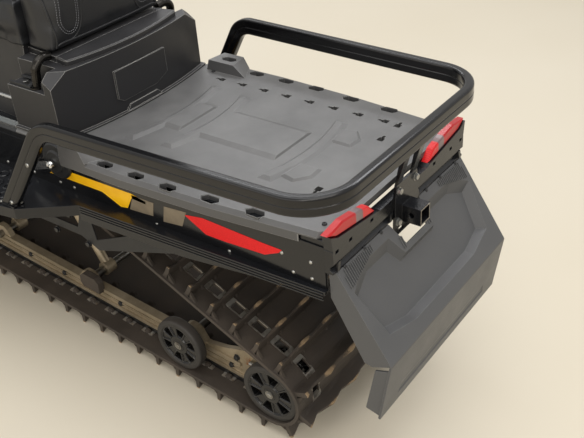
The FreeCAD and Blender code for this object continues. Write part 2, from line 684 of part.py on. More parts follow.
# ---------------------------------------------------------------- tail
# An extruded bracket closes the tunnel's end and carries the lamps, receiver and flap.
bracket = new_body("tail_bracket", "tunnel")
block(bracket, "side", [("-tunnel_tail", "bracket_low"), ("-tunnel_tail", "bracket_top"),
                        ("-tunnel_tail - bracket_deep", "bracket_top"),
                        ("-tunnel_tail - bracket_deep", "bracket_low + 24"),
                        ("-tunnel_tail - 12", "bracket_low + 15"),
                        ("-tunnel_tail - 12", "bracket_low + 9"),
                        ("-tunnel_tail - bracket_deep + 2", "bracket_low + 4"),
                        ("-tunnel_tail - bracket_deep + 2", "bracket_low")],
      "-bracket_half", "bracket_half")
lamp_foot = [("110", "bracket_top + 4"), ("209", "bracket_top + 18"), ("250", "bracket_top + 24"),
             ("bracket_half + 9", "bracket_top + 39")]
for side in ("", "-"):
    # a raised housing under each lamp, and square holes along the face
    housing = [(f"{side}(94)", "bracket_top - 1"), (f"{side}(bracket_half - 1)", "bracket_top - 1"),
               (f"{side}(bracket_half + 5)", "bracket_top + 36")]
    housing += [(f"{side}({y})", f"{z} - seat_gap") for y, z in reversed(lamp_foot[:3])]
    block(bracket, "cross", housing, "-tunnel_tail - bracket_deep", "-tunnel_tail")
    for middle in ("bracket_half - 14", "bracket_half - 62", "bracket_half - 140", "58"):
        block(bracket, "cross", [(f"{side}({middle}) - 5.5", "bracket_top - 8.5"),
                                 (f"{side}({middle}) + 5.5", "bracket_top - 8.5"),
                                 (f"{side}({middle}) + 5.5", "bracket_top - 1.5"),
                                 (f"{side}({middle}) - 5.5", "bracket_top - 1.5")],
              "-tunnel_tail - bracket_deep - 1", "-tunnel_tail - 10", cut=True)
keep(bracket)

lamp = new_body("lamp", "tunnel")
lens_face = "-tunnel_tail - bracket_deep + 4"
block(lamp, "cross", lamp_foot + [("225", "bracket_top + 46"), ("169", "bracket_top + 37"),
                                  ("133", "bracket_top + 28")],
      lens_face, "-tunnel_tail")
dress(lamp, "Chamfer", 3, lambda edge: all(abs(p.Point.x - value(lens_face)) < 0.1 for p in edge.Vertexes))
keep(both_sides(lamp, "tail_lamps"))

receiver = new_body("hitch_receiver", "tunnel")
plate_face = "-tunnel_tail - bracket_deep"
back_plate = f"{plate_face} - {hitch_plate}"
receiver_low = "receiver_height - receiver_side / 2"
block(receiver, "cross", [("-48", "receiver_height - 46"), ("48", "receiver_height - 46"),
                          ("48", "bracket_top - 2"), ("42", "bracket_top + 30"), ("-42", "bracket_top + 30"),
                          ("-48", "bracket_top - 2")],
      back_plate, plate_face)
for across in (-34, 12):
    block(receiver, "cross", [(across, "receiver_height - 41"), (across + 22, "receiver_height - 41"),
                              (across + 22, "receiver_height - 29"), (across, "receiver_height - 29")],
          back_plate + " - 1", f"{plate_face} + 1", cut=True)
block(receiver, "cross", [("-receiver_side / 2", receiver_low), ("receiver_side / 2", receiver_low),
                          ("receiver_side / 2", "receiver_height + receiver_side / 2"),
                          ("-receiver_side / 2", "receiver_height + receiver_side / 2")],
      "-receiver_reach", back_plate)
block(receiver, "cross", [("-receiver_bore / 2", "receiver_height - receiver_bore / 2"),
                          ("receiver_bore / 2", "receiver_height - receiver_bore / 2"),
                          ("receiver_bore / 2", "receiver_height + receiver_bore / 2"),
                          ("-receiver_bore / 2", "receiver_height + receiver_bore / 2")],
      "-receiver_reach - 1", back_plate, cut=True)
bore(receiver, "side", "-receiver_reach + 22", "receiver_height", "pin_hole / 2",
     "-receiver_side / 2 - 1", "receiver_side / 2 + 1")
for line, height in ((-38, -12), (38, -12), (-34, 62), (34, 62)):
    bore(receiver, "cross", line, f"receiver_height + {height}", 4.5, back_plate + " - 1",
         f"{plate_face} + 1")
keep(receiver)

# ---------------------------------------------------------------- snow flap
# A moulded flap hung from the bracket: a sloping panel with a sunken field, a knee, a lower
# skirt with a long shallow groove, side wings folded forward, and a notch that clears the
# receiver.
FIELD_RIM = [(247, 168), (190, 202), (85, 202), (60, 152), (-60, 152), (-85, 202), (-190, 202), (-247, 168),
             (-220, 50), (-132, 30), (132, 30), (220, 50)]
FIELD_FLOOR = [(226, 150), (171, 175), (92, 175), (70, 138), (-70, 138), (-92, 175), (-171, 175), (-226, 150),
               (-206, 62), (-134, 44), (134, 44), (206, 62)]


def flap_shape():
    thick = value("flap_thick")
    half = value("flap_half")
    top = v("-tunnel_tail - bracket_deep + 6", "0", "bracket_low")
    knee = v("-flap_knee_back + flap_thick", "0", "flap_knee_height")
    foot = v("-flap_foot_back + flap_thick", "0", "flap_low")
    up_panel = (top - knee).normalize()
    out_panel = Vector(0, 1, 0).cross(up_panel) * -1
    share = half / 262

    def slab(start, end, outward, low_half, high_half):
        """A sheet from one line to another, thick outwards, with its own width at each."""
        ring = [start + Vector(0, -low_half, 0), start + Vector(0, low_half, 0), end + Vector(0, high_half,
                                                                                              0),
                end + Vector(0, -high_half, 0)]
        return Part.Face(Part.makePolygon(ring + ring[:1])).extrude(outward * thick)

    def on_panel(points, depth):
        ring = [knee + Vector(0, y * share, 0) + up_panel * w + out_panel * (thick - depth)
                for y, w in points]
        return Part.makePolygon(ring + ring[:1])

    reach = (top - knee).Length
    down = (foot - knee).normalize()
    out_skirt = Vector(0, 1, 0).cross(down)
    panel = slab(knee, top, out_panel, half, half - 6)
    skirt = slab(knee, foot, out_skirt, half, half + 6)
    corner = knee + out_panel * thick
    wedge_ring = [knee, corner, knee + out_skirt * thick]
    wedge = Part.Face(Part.makePolygon(wedge_ring + wedge_ring[:1]))
    wedge.translate(Vector(0, -half, 0))
    wedge = wedge.extrude(Vector(0, 2 * half, 0))
    deep = value("recess_deep")
    wall = thick / 2
    grown_rim = [(y + math.copysign(wall, y), w + (wall if w > 100 else -wall)) for y, w in FIELD_RIM]
    grown_floor = [(y + math.copysign(wall, y), w + (wall if w > 100 else -wall)) for y, w in FIELD_FLOOR]
    dish = Part.makeLoft([on_panel(grown_rim, thick), on_panel(grown_floor, deep + thick)], True, True)
    field = Part.makeLoft([on_panel(FIELD_RIM, -1), on_panel(FIELD_FLOOR, deep)], True, True)
    notch_ring = [(-68, reach + 5), (-44, 164), (44, 164), (68, reach + 5)]
    notch = Part.Face(on_panel(notch_ring, -10)).extrude(out_panel * -40)
    groove_low = [foot + Vector(0, y, 0) - down * w + out_skirt * (thick + 1)
                  for y, w in ((-205, 22), (205, 22), (196, 58), (-196, 58))]
    groove_deep = [foot + Vector(0, y, 0) - down * w + out_skirt * (thick - 2.5)
                   for y, w in ((-196, 26), (196, 26), (190, 42), (-190, 42))]
    groove = Part.makeLoft([Part.makePolygon(groove_low + groove_low[:1]),
                            Part.makePolygon(groove_deep + groove_deep[:1])], True, True)
    wings = []
    for side in (-1, 1):
        ring = [top + out_panel * thick, corner, knee + Vector(40, 0, -17), knee + Vector(58, 0, -14),
                Vector(-value("tunnel_tail") - 6, 0, value("bracket_low") - 65),
                Vector(-value("tunnel_tail") - 4, 0, value("bracket_low") - 8), top + Vector(2, 0, 0)]
        wing = Part.Face(Part.makePolygon(ring + ring[:1]))
        wing.translate(Vector(0, side * half - (thick if side > 0 else 0), 0))
        wings.append(wing.extrude(Vector(0, thick, 0)))
        lip = [knee + down * 14, foot, foot + Vector(34, 0, 8), knee + down * 26 + Vector(30, 0, 0)]
        edge = Part.Face(Part.makePolygon(lip + lip[:1]))
        edge.translate(Vector(0, side * (half - 1) - (thick if side > 0 else 0), 0))
        wings.append(edge.extrude(Vector(0, thick, 0)))
    bracket_room = box_between(Vector(-1000, -1000, value("bracket_low - seat_gap")), Vector(0, 1000, 1000))
    return fused([panel, skirt, wedge, dish] + wings).cut([field, notch, groove, bracket_room])


keep(shaped("snow_flap", "tunnel", flap_shape()))

# ---------------------------------------------------------------- storage box
# A moulded box behind the seat with a bowed rear wall, a facet at each rear corner, a ledge
# along each side, a raised blank panel on its rear face and a foot flange; its lid lifts on
# a hinge just behind the seat.
box = new_body("storage_box", "tunnel")
box_corner = "box_tail + box_bow"


def box_plan(grow):
    """The box's outline, counter-clockwise from its rear right corner, grown by an amount."""
    return [(f"{box_corner} - ({grow})", f"-box_half - ({grow})"), ("box_front", f"-box_half - ({grow})"),
            ("box_front", f"box_half + ({grow})"), (f"{box_corner} - ({grow})", f"box_half + ({grow})")]


block(box, "plan", box_plan("0"), "deck_top", "box_top", bows={3: "-box_bow"})
block(box, "plan", box_plan("9"), "deck_top", "deck_top + 5", bows={3: "-box_bow"})
for side in ("", "-"):
    facets = []
    for outward in (-1, 52):
        line = f"box_half - box_shoulder + {outward}"
        facets.append([(f"{box_corner} - 55", f"{side}({line} - 35)"),
                       (f"{box_corner} + 120", f"{side}({line} + 100)"),
                       (f"{box_corner} - 55", f"{side}(box_half + 200)")])
    tapered(box, facets[1], "box_top - 45", facets[0], "box_top + 1", cut=True)
    ledge = f"{side}(box_half - box_shoulder + 1)"
    block(box, "plan", [(f"{box_corner} + 25", ledge), ("box_front + 5", ledge),
                        ("box_front + 5", f"{side}(box_half + 1)"),
                        (f"{box_corner} + 25", f"{side}(box_half + 1)")],
          "box_top - ledge_drop", "box_top + 1", cut=True)
tapered(box, [("box_tail - 5", -66), ("box_tail + 8", -66), ("box_tail + 8", 66), ("box_tail - 5", 66)],
        "deck_top",
        [("box_tail - 2", -48), ("box_tail + 8", -48), ("box_tail + 8", 48),
         ("box_tail - 2", 48)], "deck_top + 18")
panel_face = "box_tail - 2"
block(box, "cross", [(-92, "deck_top + 52"), (-48, "deck_top + 34"), (66, "deck_top + 34"),
                     (82, "deck_top + 44"),
                     (82, "deck_top + 116"), (-92, "deck_top + 116")],
      panel_face, "box_tail + 12")



def bin_plan(front):
    """The plan of the bin under the lid, up to a front edge."""
    return [("lid_tail + 14 + box_bow", "-lid_half + 12"), (front, "-lid_half + 12"),
            (front, "lid_half - 12"), ("lid_tail + 14 + box_bow", "lid_half - 12")]


block(box, "plan", bin_plan("box_front - 12"), "deck_top + box_wall", "box_top - box_wall - 3", cut=True,
      bows={3: "-box_bow"})
block(box, "plan", bin_plan("lid_hinge - 10"), "deck_top + box_wall", "box_top + 1", cut=True,
      bows={3: "-box_bow"})
block(box, "plan", [("lid_hinge + seat_gap", "-lid_half + 7"), ("box_front", "-lid_half + 19"),
                    ("box_front", "lid_half - 19"), ("lid_hinge + seat_gap", "lid_half - 7")],
      "box_top", "box_top + lid_thick")
keep(box)

lid = new_body("storage_lid", "tunnel")
lid_corner = "lid_tail + box_bow - 3"


def lid_plan(inset):
    return [(f"{lid_corner} + ({inset})", f"-lid_half + ({inset})"),
            ("lid_hinge", f"-lid_half + 7 + ({inset})"),
            ("lid_hinge", f"lid_half - 7 - ({inset})"),
            (f"{lid_corner} + ({inset})", f"lid_half - ({inset})")]


block(lid, "plan", lid_plan("0"), "box_top + seat_gap", "box_top + lid_thick - 3", bows={3: "-box_bow + 3"})
tapered(lid, lid_plan("0"), "box_top + lid_thick - 3", lid_plan("3"), "box_top + lid_thick",
        bows={3: "-box_bow + 3"})
dress(lid, "Fillet", 8, lambda edge: edge.BoundBox.ZLength > 5 and edge.BoundBox.XMax < value("lid_hinge") - 5
      and abs(edge.BoundBox.YMax - edge.BoundBox.YMin) < 1)
keep(lid)

# ---------------------------------------------------------------- seat
# A moulded shell over the tunnel carries the rider's and the passenger's cushions.
base = new_body("seat_base", "tunnel")
tapered(base, [("box_front + seat_gap", "-box_half + 40"), ("seat_base_front", "-165"),
               ("seat_base_front", "165"),
               ("box_front + seat_gap", "box_half - 40")], "tunnel_roof",
        [("box_front + seat_gap", "-cushion_half + 16"), ("seat_base_front", "-120"),
         ("seat_base_front", "120"),
         ("box_front + seat_gap", "cushion_half - 16")], "seat_floor - seat_gap")
keep(base)

passenger = new_body("passenger_seat", "tunnel")
block(passenger, "plan", [("passenger_tail", "-cushion_half"), ("passenger_front", "-cushion_half + 30"),
                          ("passenger_front", "cushion_half - 30"), ("passenger_tail", "cushion_half")],
      "seat_floor", "passenger_top")
keep(passenger)

rider = new_body("rider_seat", "tunnel")
block(rider, "side", [("passenger_front + 4", "seat_floor"), ("seat_base_front + 40", "seat_floor"),
                      ("seat_base_front + 30", "rider_top - 15"), ("passenger_front + 150", "rider_top"),
                      ("passenger_front + 4", "rider_top + 25")],
      "-150", "150")
keep(rider)

back = new_body("passenger_backrest", "tunnel")
back_low = "seat_floor - 2"
block(back, "side", [("backrest_tail", back_low), ("backrest_tail + backrest_thick", back_low),
                     ("backrest_tail + backrest_thick", "passenger_top"),
                     ("backrest_tail + backrest_thick - 50", "backrest_top"),
                     ("backrest_tail - 35", "backrest_top"),
                     ("backrest_tail", "passenger_top + 40")],
      "-cushion_half + 16", "cushion_half - 16")
keep(back)


def grab_shape():
    """A hoop that rises from the box's ledge and turns in to the seat's side."""
    tube = value("grab_tube")
    seat_side = value("cushion_half") - 16 + value("seat_gap")
    out = value("box_half") - 20
    foot = Vector(value("backrest_tail") + 22, out, value("box_top - ledge_drop + seat_gap"))
    bend = Vector(foot.x - 14, out, value("seat_floor") + 4)
    inner = Vector(bend.x + 12, seat_side - 15, bend.z - 16)
    rail = round_tube([foot, bend, inner], [26], tube)
    flange = rod(foot, foot + Vector(0, 0, 4), tube + 6)
    low = box_between(foot + Vector(-100, -100, -100), foot + Vector(100, 100, 0))
    beyond = box_between(Vector(bend.x - 100, 0, bend.z - 100), Vector(bend.x + 100, seat_side, bend.z + 100))
    return fused([rail, flange]).cut([low, beyond])


left_grab = shaped("left_grab", "tunnel", grab_shape())
keep(both_sides(left_grab, "grab_handles"))

# ---------------------------------------------------------------- track
# The belt's inner face runs round the idlers, the rails' bent noses and the sprocket.


def track_circles():
    """The circles that the belt wraps, counter-clockwise as seen from the right."""
    ground = value("lug_tall + belt_thick")
    rear = value("rear_wheel_radius")
    bend = value("nose_bend")
    return [(value("rear_axle_station"), ground + rear, rear),
            (value("rail_nose"), ground + bend, bend),
            (value("drive_station"), value("drive_height"), value("drive_radius")),
            (value("top_axle_station"), value("top_axle_height"), value("top_wheel_radius"))]


def belt_runs(offset):
    """Straight runs of the belt as (start, end) points, at an offset outside its inner face."""
    circles = track_circles()
    runs = []
    for (ax, az, ar), (bx, bz, br) in zip(circles, circles[1:] + circles[:1]):
        span = Vector(bx - ax, 0, bz - az)
        unit = Vector(span).normalize()
        lean = math.asin((ar - br) / span.Length)
        right = Vector(unit.z, 0, -unit.x)
        normal = right * math.cos(lean) + unit * math.sin(lean)
        runs.append((Vector(ax, 0, az) + normal * (ar + offset), Vector(bx, 0, bz) + normal * (br + offset)))
    return runs


def belt_wire(offset):
    """The closed path of the belt at an offset, straight runs joined by wheel arcs."""
    circles = track_circles()
    runs = belt_runs(offset)
    edges = []
    for i, (start, end) in enumerate(runs):
        edges.append(Part.LineSegment(start, end).toShape())
        cx, cz, radius = circles[(i + 1) % len(circles)]
        leave = runs[(i + 1) % len(runs)][0]
        centre = Vector(cx, 0, cz)
        middle = ((end - centre) + (leave - centre)).normalize()
        edges.append(Part.Arc(end, centre + middle * (radius + offset), leave).toShape())
    return Part.Wire(edges)


def track_shape():
    """The belt with its windows and lugs: tapered bars across it, with a gusset at each end."""
    half = value("track_half")
    reach = half - value("lug_inset")
    thick = value("belt_thick")
    outer = belt_wire(thick)
    belt = Part.Face(outer).cut(Part.Face(belt_wire(0)))
    belt.translate(Vector(0, -half, 0))
    belt = belt.extrude(Vector(0, 2 * half, 0))
    count = int(value("lug_count"))
    points = outer.discretize(Number=count * 8 + 1)
    tall, gusset, drop = value("lug_tall"), 30, 22
    along, across = value("window_long") / 2, value("window_wide") / 2
    foot, tip = 7.5, 4.5
    lugs, windows = [], []
    for i in range(count):
        here, there = points[i * 8 + 2], points[i * 8 + 6]
        ahead = (points[i * 8 + 3] - points[i * 8 + 1]).normalize()
        out = Vector(ahead.z, 0, -ahead.x)
        ring = [here - ahead * foot - out * 2, here + ahead * foot - out * 2, here + ahead * tip + out * tall,
                here - ahead * tip + out * tall]
        face = Part.Face(Part.makePolygon(ring + ring[:1]))
        face.translate(Vector(0, -reach, 0))
        lugs.append(face.extrude(Vector(0, 2 * reach, 0)))
        onward = (points[(i * 8 + 7) % (count * 8)] - points[i * 8 + 5]).normalize()
        normal = Vector(onward.z, 0, -onward.x)
        for side in (-1, 1):
            edge = here + Vector(0, side * reach, 0)
            wedge = [edge - out * 2, edge - out * 2 + ahead * gusset,
                     edge + out * (tall - drop) + ahead * tip]
            fin = Part.Face(Part.makePolygon(wedge + wedge[:1]))
            lugs.append(fin.extrude(Vector(0, -side * 8, 0)))
            middle = there + Vector(0, side * value("window_line"), 0)
            hole = [middle + onward * a - normal * 2 * thick for a in (-along, along)]
            hole = [hole[0] - Vector(0, across, 0), hole[1] - Vector(0, across, 0),
                    hole[1] + Vector(0, across, 0), hole[0] + Vector(0, across, 0)]
            windows.append(Part.Face(Part.makePolygon(hole + hole[:1])).extrude(normal * 3 * thick))
    return belt.cut(Part.makeCompound(windows)).fuse(lugs)


keep(shaped("track", "level", track_shape()))

# ---------------------------------------------------------------- slide rails
# Two aluminium rails on plastic sliders carry the weight on the belt's inner face.


def slide_rail_shape():
    ground = value("lug_tall + belt_thick")
    line = value("slide_rail_line")
    thick = value("slide_rail_thick")
    nose = value("rail_nose")
    bend = value("nose_bend")
    tall = value("slide_rail_tall")
    slider = value("slider_tall")
    low = ground + value("seat_gap")
    axle = value("rear_axle_station")
    axle_height = ground + value("rear_wheel_radius")
    tail = axle - 34
    centre = Vector(nose, 0, ground + bend)

    def swept(from_gap, to_gap, width, end_angle, first):
        """A band above the belt that follows it forward and up its bend."""
        angle = math.radians(end_angle)
        outer, inner = bend - from_gap, bend - to_gap

        def at(radius, turn):
            return centre + Vector(math.sin(turn) * radius, 0, -math.cos(turn) * radius)

        edges = [Part.LineSegment(Vector(first, 0, ground + from_gap), at(outer, 0)).toShape(),
                 Part.Arc(at(outer, 0), at(outer, angle / 2), at(outer, angle)).toShape(),
                 Part.LineSegment(at(outer, angle), at(inner, angle)).toShape(),
                 Part.Arc(at(inner, angle), at(inner, angle / 2), at(inner, 0)).toShape(),
                 Part.LineSegment(at(inner, 0), Vector(first, 0, ground + to_gap)).toShape(),
                 Part.LineSegment(Vector(first, 0, ground + to_gap),
                                  Vector(first, 0, ground + from_gap)).toShape()]
        face = Part.Face(Part.Wire(edges))
        face.translate(Vector(0, line - width / 2, 0))
        return face.extrude(Vector(0, width, 0))

    gap = value("seat_gap")
    parts = [swept(gap, slider, 2.4 * thick, 36, axle),
             swept(slider, tall, thick, 36, axle),
             swept(tall - 12, tall, 2 * thick, 30, axle + 130),
             swept(slider, slider + 10, 2 * thick, 36, axle)]
    parts.append(box_between(Vector(tail, line - thick / 2, ground + slider),
                             Vector(axle + 95, line + thick / 2, axle_height + 36)))
    rail = fused(parts)
    holes = [rod(Vector(x, line - 40, z), Vector(x, line + 40, z), value("axle_radius") + 0.3)
             for x, z in rail_shafts() + [(axle, axle_height)]]
    return rail.cut(holes)


def rail_shafts():
    """Where the cross shafts pass through the rails, as (station, height)."""
    ground = value("lug_tall + belt_thick")
    return [(value("mid_axle_station"), ground + value("mid_wheel_radius")),
            (640, ground + 62), (1010, ground + 62)]


left_rail = shaped("left_slide_rail", "level", slide_rail_shape())
keep(both_sides(left_rail, "slide_rails"))

# ---------------------------------------------------------------- wheels and shafts
# Spoked plastic wheels with rubber tyres on through shafts.


def spoked_wheel(station, height, middle, radius):
    """A wheel revolved about its axle, then pierced by six openings between its spokes."""
    width = value("wheel_width")
    bore = value("axle_radius") + 0.3
    hub, rim = 26, radius - 19
    half = width / 2
    outline = [(bore, -half), (hub, -half), (hub + 4, -5), (rim - 3, -5), (rim, -half + 2),
               (radius - 3, -half),
               (radius, -half + 3), (radius, half - 3), (radius - 3, half), (rim, half - 2), (rim - 3, 5),
               (hub + 4, 5), (hub, half), (bore, half)]
    ring = [Vector(r, y, 0) for r, y in outline]
    wheel = Part.Face(Part.makePolygon(ring + ring[:1])).revolve(Vector(0, 0, 0), Vector(0, 1, 0), 360)
    near, far, spoke = hub + 7, rim - 6, 7
    for k in range(6):
        ring = []
        for reach, turn in ((near, 1), (far, 1), (far, 0.5), (far, 0), (far, -0.5), (far, -1), (near, -1)):
            angle = math.radians(60 * k + 30) + turn * (math.radians(30) - math.asin(spoke / reach))
            ring.append(Vector(math.cos(angle) * reach, -9, math.sin(angle) * reach))
        wheel = wheel.cut(Part.Face(Part.makePolygon(ring + ring[:1])).extrude(Vector(0, 18, 0)))
    wheel.translate(Vector(station, middle, height))
    return wheel


ground_face = value("lug_tall + belt_thick")
wheel_line = value("track_half - wheel_width / 2") - 5
inner_line = value("slide_rail_line") - value("slide_rail_thick") * 2 - value("wheel_width")
rear_height = ground_face + value("rear_wheel_radius")
mid_height = ground_face + value("mid_wheel_radius")
wheel_places = [("rear_axle_station", rear_height, wheel_line, "rear_wheel_radius"),
                ("rear_axle_station", rear_height, inner_line, "rear_wheel_radius"),
                ("mid_axle_station", mid_height, wheel_line, "mid_wheel_radius"),
                ("top_axle_station", value("top_axle_height"), 150, "top_wheel_radius")]
running_gap = value("seat_gap")
wheels = [spoked_wheel(value(x), z, y, value(r) - running_gap) for x, z, y, r in wheel_places]
left_wheels = shaped("left_wheels", "level", Part.makeCompound(wheels))
keep(both_sides(left_wheels, "idler_wheels"))


def shafts_shape():
    """Cross shafts of the rear, middle and upper wheels and of the suspension arms."""
    radius = value("axle_radius")
    reach = wheel_line + value("wheel_width") / 2 + 2
    rail_reach = value("slide_rail_line") + value("slide_rail_thick") + 14
    shafts = [rod(Vector(value("rear_axle_station"), -reach, rear_height),
                  Vector(value("rear_axle_station"), reach, rear_height), radius)]
    for (x, z), end in zip(rail_shafts(), (reach, rail_reach, rail_reach)):
        shafts.append(rod(Vector(x, -end, z), Vector(x, end, z), radius))
    top = value("top_axle_station"), value("top_axle_height")
    inside = value("tunnel_half - tunnel_wall")
    shafts.append(rod(Vector(top[0], -inside, top[1]), Vector(top[0], inside, top[1]), radius))
    return Part.makeCompound(shafts)


keep(shaped("cross_shafts", "level", shafts_shape()))

# ---------------------------------------------------------------- drive axle
# The axle crosses the tunnel's walls and carries two toothed sprockets.


def drive_shape():
    centre = Vector(value("drive_station"), 0, value("drive_height"))
    radius = value("drive_radius") - 2 * value("seat_gap")
    inside = value("tunnel_half - tunnel_wall")
    parts = [rod(centre - Vector(0, inside, 0), centre + Vector(0, inside, 0), 19)]
    for middle in (-110, 110):
        wheel = Part.makeCylinder(radius - 14, 30, centre + Vector(0, middle - 15, 0), Vector(0, 1, 0))
        teeth = []
        for k in range(8):
            tooth = box_between(Vector(radius - 18, middle - 15, -9), Vector(radius, middle + 15, 9))
            tooth.rotate(Vector(0, 0, 0), Vector(0, 1, 0), 45 * k)
            tooth.translate(centre)
            teeth.append(tooth)
        parts += [wheel] + teeth
    return fused(parts)


keep(shaped("drive_axle", "level", drive_shape()))

# ---------------------------------------------------------------- suspension arms and shocks


def to_level(point):
    """A point of the tunnel's frame in the level frame."""
    return Rotation(Vector(0, 1, 0), value("tunnel_pitch")).multVec(point)


arm_tube = 15


def arm_pivots():
    """The rear and the front arm's pivots, in the level frame."""
    return [to_level(v(station, "0", "arm_pivot_height"))
            for station in ("rear_pivot_station", "front_pivot_station")]


def arms_shape():
    """Front and rear arms: paired tubes from the rails' shafts up to pivots in the tunnel."""
    radius = value("axle_radius")
    (_, _), (rear_x, rear_z), (front_x, front_z) = rail_shafts()
    solids = []
    inside = value("tunnel_half - tunnel_wall")
    rear_pivot, front_pivot = arm_pivots()
    for foot, head, half in ((Vector(rear_x, 0, rear_z), rear_pivot, 120),
                             (Vector(front_x, 0, front_z), front_pivot, 130)):
        eyes = []
        for side in (-1, 1):
            low = foot + Vector(0, side * half, 0)
            high = head + Vector(0, side * half, 0)
            leg = rod(low, high, 13)
            eye = rod(low - Vector(0, 16, 0), low + Vector(0, 16, 0), radius + 9)
            eyes += [leg, eye]
        cross = rod(head - Vector(0, inside, 0), head + Vector(0, inside, 0), arm_tube)
        whole = fused(eyes + [cross])
        whole = whole.cut(rod(foot - Vector(0, 400, 0), foot + Vector(0, 400, 0), radius + 0.3))
        solids.append(whole)
    return Part.makeCompound(solids)


keep(shaped("suspension_arms", "level", arms_shape()))


def shock(low, high, across, body_radius, low_pin, high_pin):
    """A damper between two pins: body, rod, spring seats and an eye at each end."""
    run = high - low
    unit = Vector(run).normalize()
    length = run.Length
    gap = value("seat_gap")
    parts = [rod(low, low + unit * (length * 0.55), body_radius), rod(low, high, body_radius * 0.45)]
    for end, pin in ((low, low_pin), (high, high_pin)):
        parts.append(rod(end - across * 14, end + across * 14, pin + 7))
    for share in (0.17, 0.84):
        seat = low + unit * (length * share)
        parts.append(rod(seat, seat + unit * 6, body_radius + 18))
    bores = [rod(end - across * 60, end + across * 60, pin + gap)
             for end, pin in ((low, low_pin), (high, high_pin))]
    return fused(parts).cut(bores)


def rear_shocks_shape():
    """Two shocks from one rail shaft: one back to the rear arm, one on to the front arm."""
    foot_x, foot_z = rail_shafts()[2]
    solids = []
    for head, y in zip(arm_pivots(), (-48, 48)):
        across = Vector(0, y, 0)
        solids.append(shock(Vector(foot_x, 0, foot_z) + across, head + across, Vector(0, 1, 0), 21,
                            value("axle_radius"), arm_tube))
    return Part.makeCompound(solids)


keep(shaped("rear_shocks", "level", rear_shocks_shape()))

# ---------------------------------------------------------------- front frame and engine
frame_x0, frame_x1 = 2110, 2500
shock_top_x, shock_top_z = 2305, 606
shock_pin = 7


def front_frame_shape():
    """A cast and welded bulkhead with two shock towers and rails back to the tunnel."""
    half = value("frame_half")
    body = box_between(Vector(frame_x0, -half, 262), Vector(frame_x1, half, 462))
    window = box_between(Vector(frame_x0 + 60, -half - 1, 306), Vector(frame_x1 - 120, half + 1, 364))
    hollow = box_between(Vector(frame_x0 - 1, -half + 12, 274), Vector(frame_x1 - 12, half - 12, 480))
    body = body.cut([window, hollow])
    beam_line = half + 3
    towers = []
    for side in (-1, 1):
        ring = [Vector(2240, side * (half - 12), 440), Vector(2370, side * (half - 12), 440),
                Vector(2330, side * (half - 12), 640), Vector(2280, side * (half - 12), 640)]
        plate = Part.Face(Part.makePolygon(ring + ring[:1])).extrude(Vector(0, side * 12, 0))
        towers.append(plate)
        beam_start = to_level(v("tunnel_nose", 0, 460)).x + value("seat_gap")
        towers.append(box_between(Vector(beam_start, side * beam_line - 12, 262),
                                  Vector(frame_x0 + 20, side * beam_line + 12, 322)))
        for ear in (-22, 16):
            low = Vector(shock_top_x + ear, min(side * half, side * (half + 30)), shock_top_z - 14)
            towers.append(box_between(low, low + Vector(6, 30, 32)))
        towers.append(rod(Vector(shock_top_x - 20, side * (half + 16), shock_top_z),
                          Vector(shock_top_x + 20, side * (half + 16), shock_top_z), shock_pin))
    top = box_between(Vector(2280, -half, 628), Vector(2330, half, 640))
    return fused([body] + towers + [top])


keep(shaped("front_frame", "level", front_frame_shape()))

engine = new_body("engine_block", "level")
block(engine, "side", [("1760", "322"), ("2095", "322"), ("2095", "600"), ("2040", "690"), ("1830", "690"),
                       ("1760", "600")], "-frame_half - 25", "frame_half + 25")
keep(engine)

# ---------------------------------------------------------------- covers
# Hood, side cowls and belly pan are one moulded form split along its seams.
COVER_STATIONS = [(1500, 205, 905, 430), (1700, 292, 952, 430), (2000, 346, 948, 432), (2250, 352, 898, 436),
                  (2450, 322, 818, 446), (2590, 268, 730, 458), (2690, 200, 640, 472), (2738, 142, 574, 486)]


def cover_section(station, half, top, low, inset):
    """A closed section with creases: flat-sided below, chamfered shoulders, a flat crown."""
    half, top, low = half - inset, top - inset, low + inset
    tall = top - low
    points = [(half * 0.8, low), (half * 0.96, low + tall * 0.1), (half, low + tall * 0.46),
              (half * 0.9, low + tall * 0.7), (half * 0.62, low + tall * 0.9), (half * 0.28, top)]
    ring = [Vector(station, y, z) for y, z in points + [(-y, z) for y, z in reversed(points)]]
    return Part.makePolygon(ring + ring[:1])


def cover_loft(inset):
    stations = [(x + (inset if i == 0 else 0) - (inset if i == len(COVER_STATIONS) - 1 else 0), h, t, l)
                for i, (x, h, t, l) in enumerate(COVER_STATIONS)]
    return Part.makeLoft([cover_section(x, h, t, l, inset) for x, h, t, l in stations], True, False)


SEAM_HEIGHT = 720
COVER_SILL = 508


def cover_shell():
    """The hollow upper cover, open below and cut clear of the tunnel and the column."""
    shell = cover_loft(0).cut(cover_loft(value("hood_wall")))
    shell = shell.cut(box_between(Vector(1000, -1000, 0), Vector(3200, 1000, COVER_SILL)))
    over_tunnel = box_between(Vector(800, -value("tunnel_half") - 1, 200),
                              Vector(value("tunnel_nose") + 1, value("tunnel_half") + 1,
                                     value("tunnel_roof") + 0.3))
    over_tunnel.rotate(Vector(0, 0, 0), Vector(0, 1, 0), value("tunnel_pitch"))
    return shell.cut(over_tunnel)


shell = cover_shell()
seam = value("panel_gap") / 2
hood_shape = shell.common(box_between(Vector(1400, -1000, SEAM_HEIGHT + seam), Vector(3000, 1000, 1200)))
cowl_shape = shell.common(box_between(Vector(1400, 1, 300), Vector(2620, 1000, SEAM_HEIGHT - seam)))
nose_shape = shell.common(box_between(Vector(2620 + 2 * seam, -1000, 300),
                                      Vector(3000, 1000, SEAM_HEIGHT - seam)))


def largest(shape):
    return max(shape.Solids, key=lambda solid: solid.Volume)


rear_opening = box_between(Vector(1400, -150, SEAM_HEIGHT - 400), Vector(1560, 150, 880))


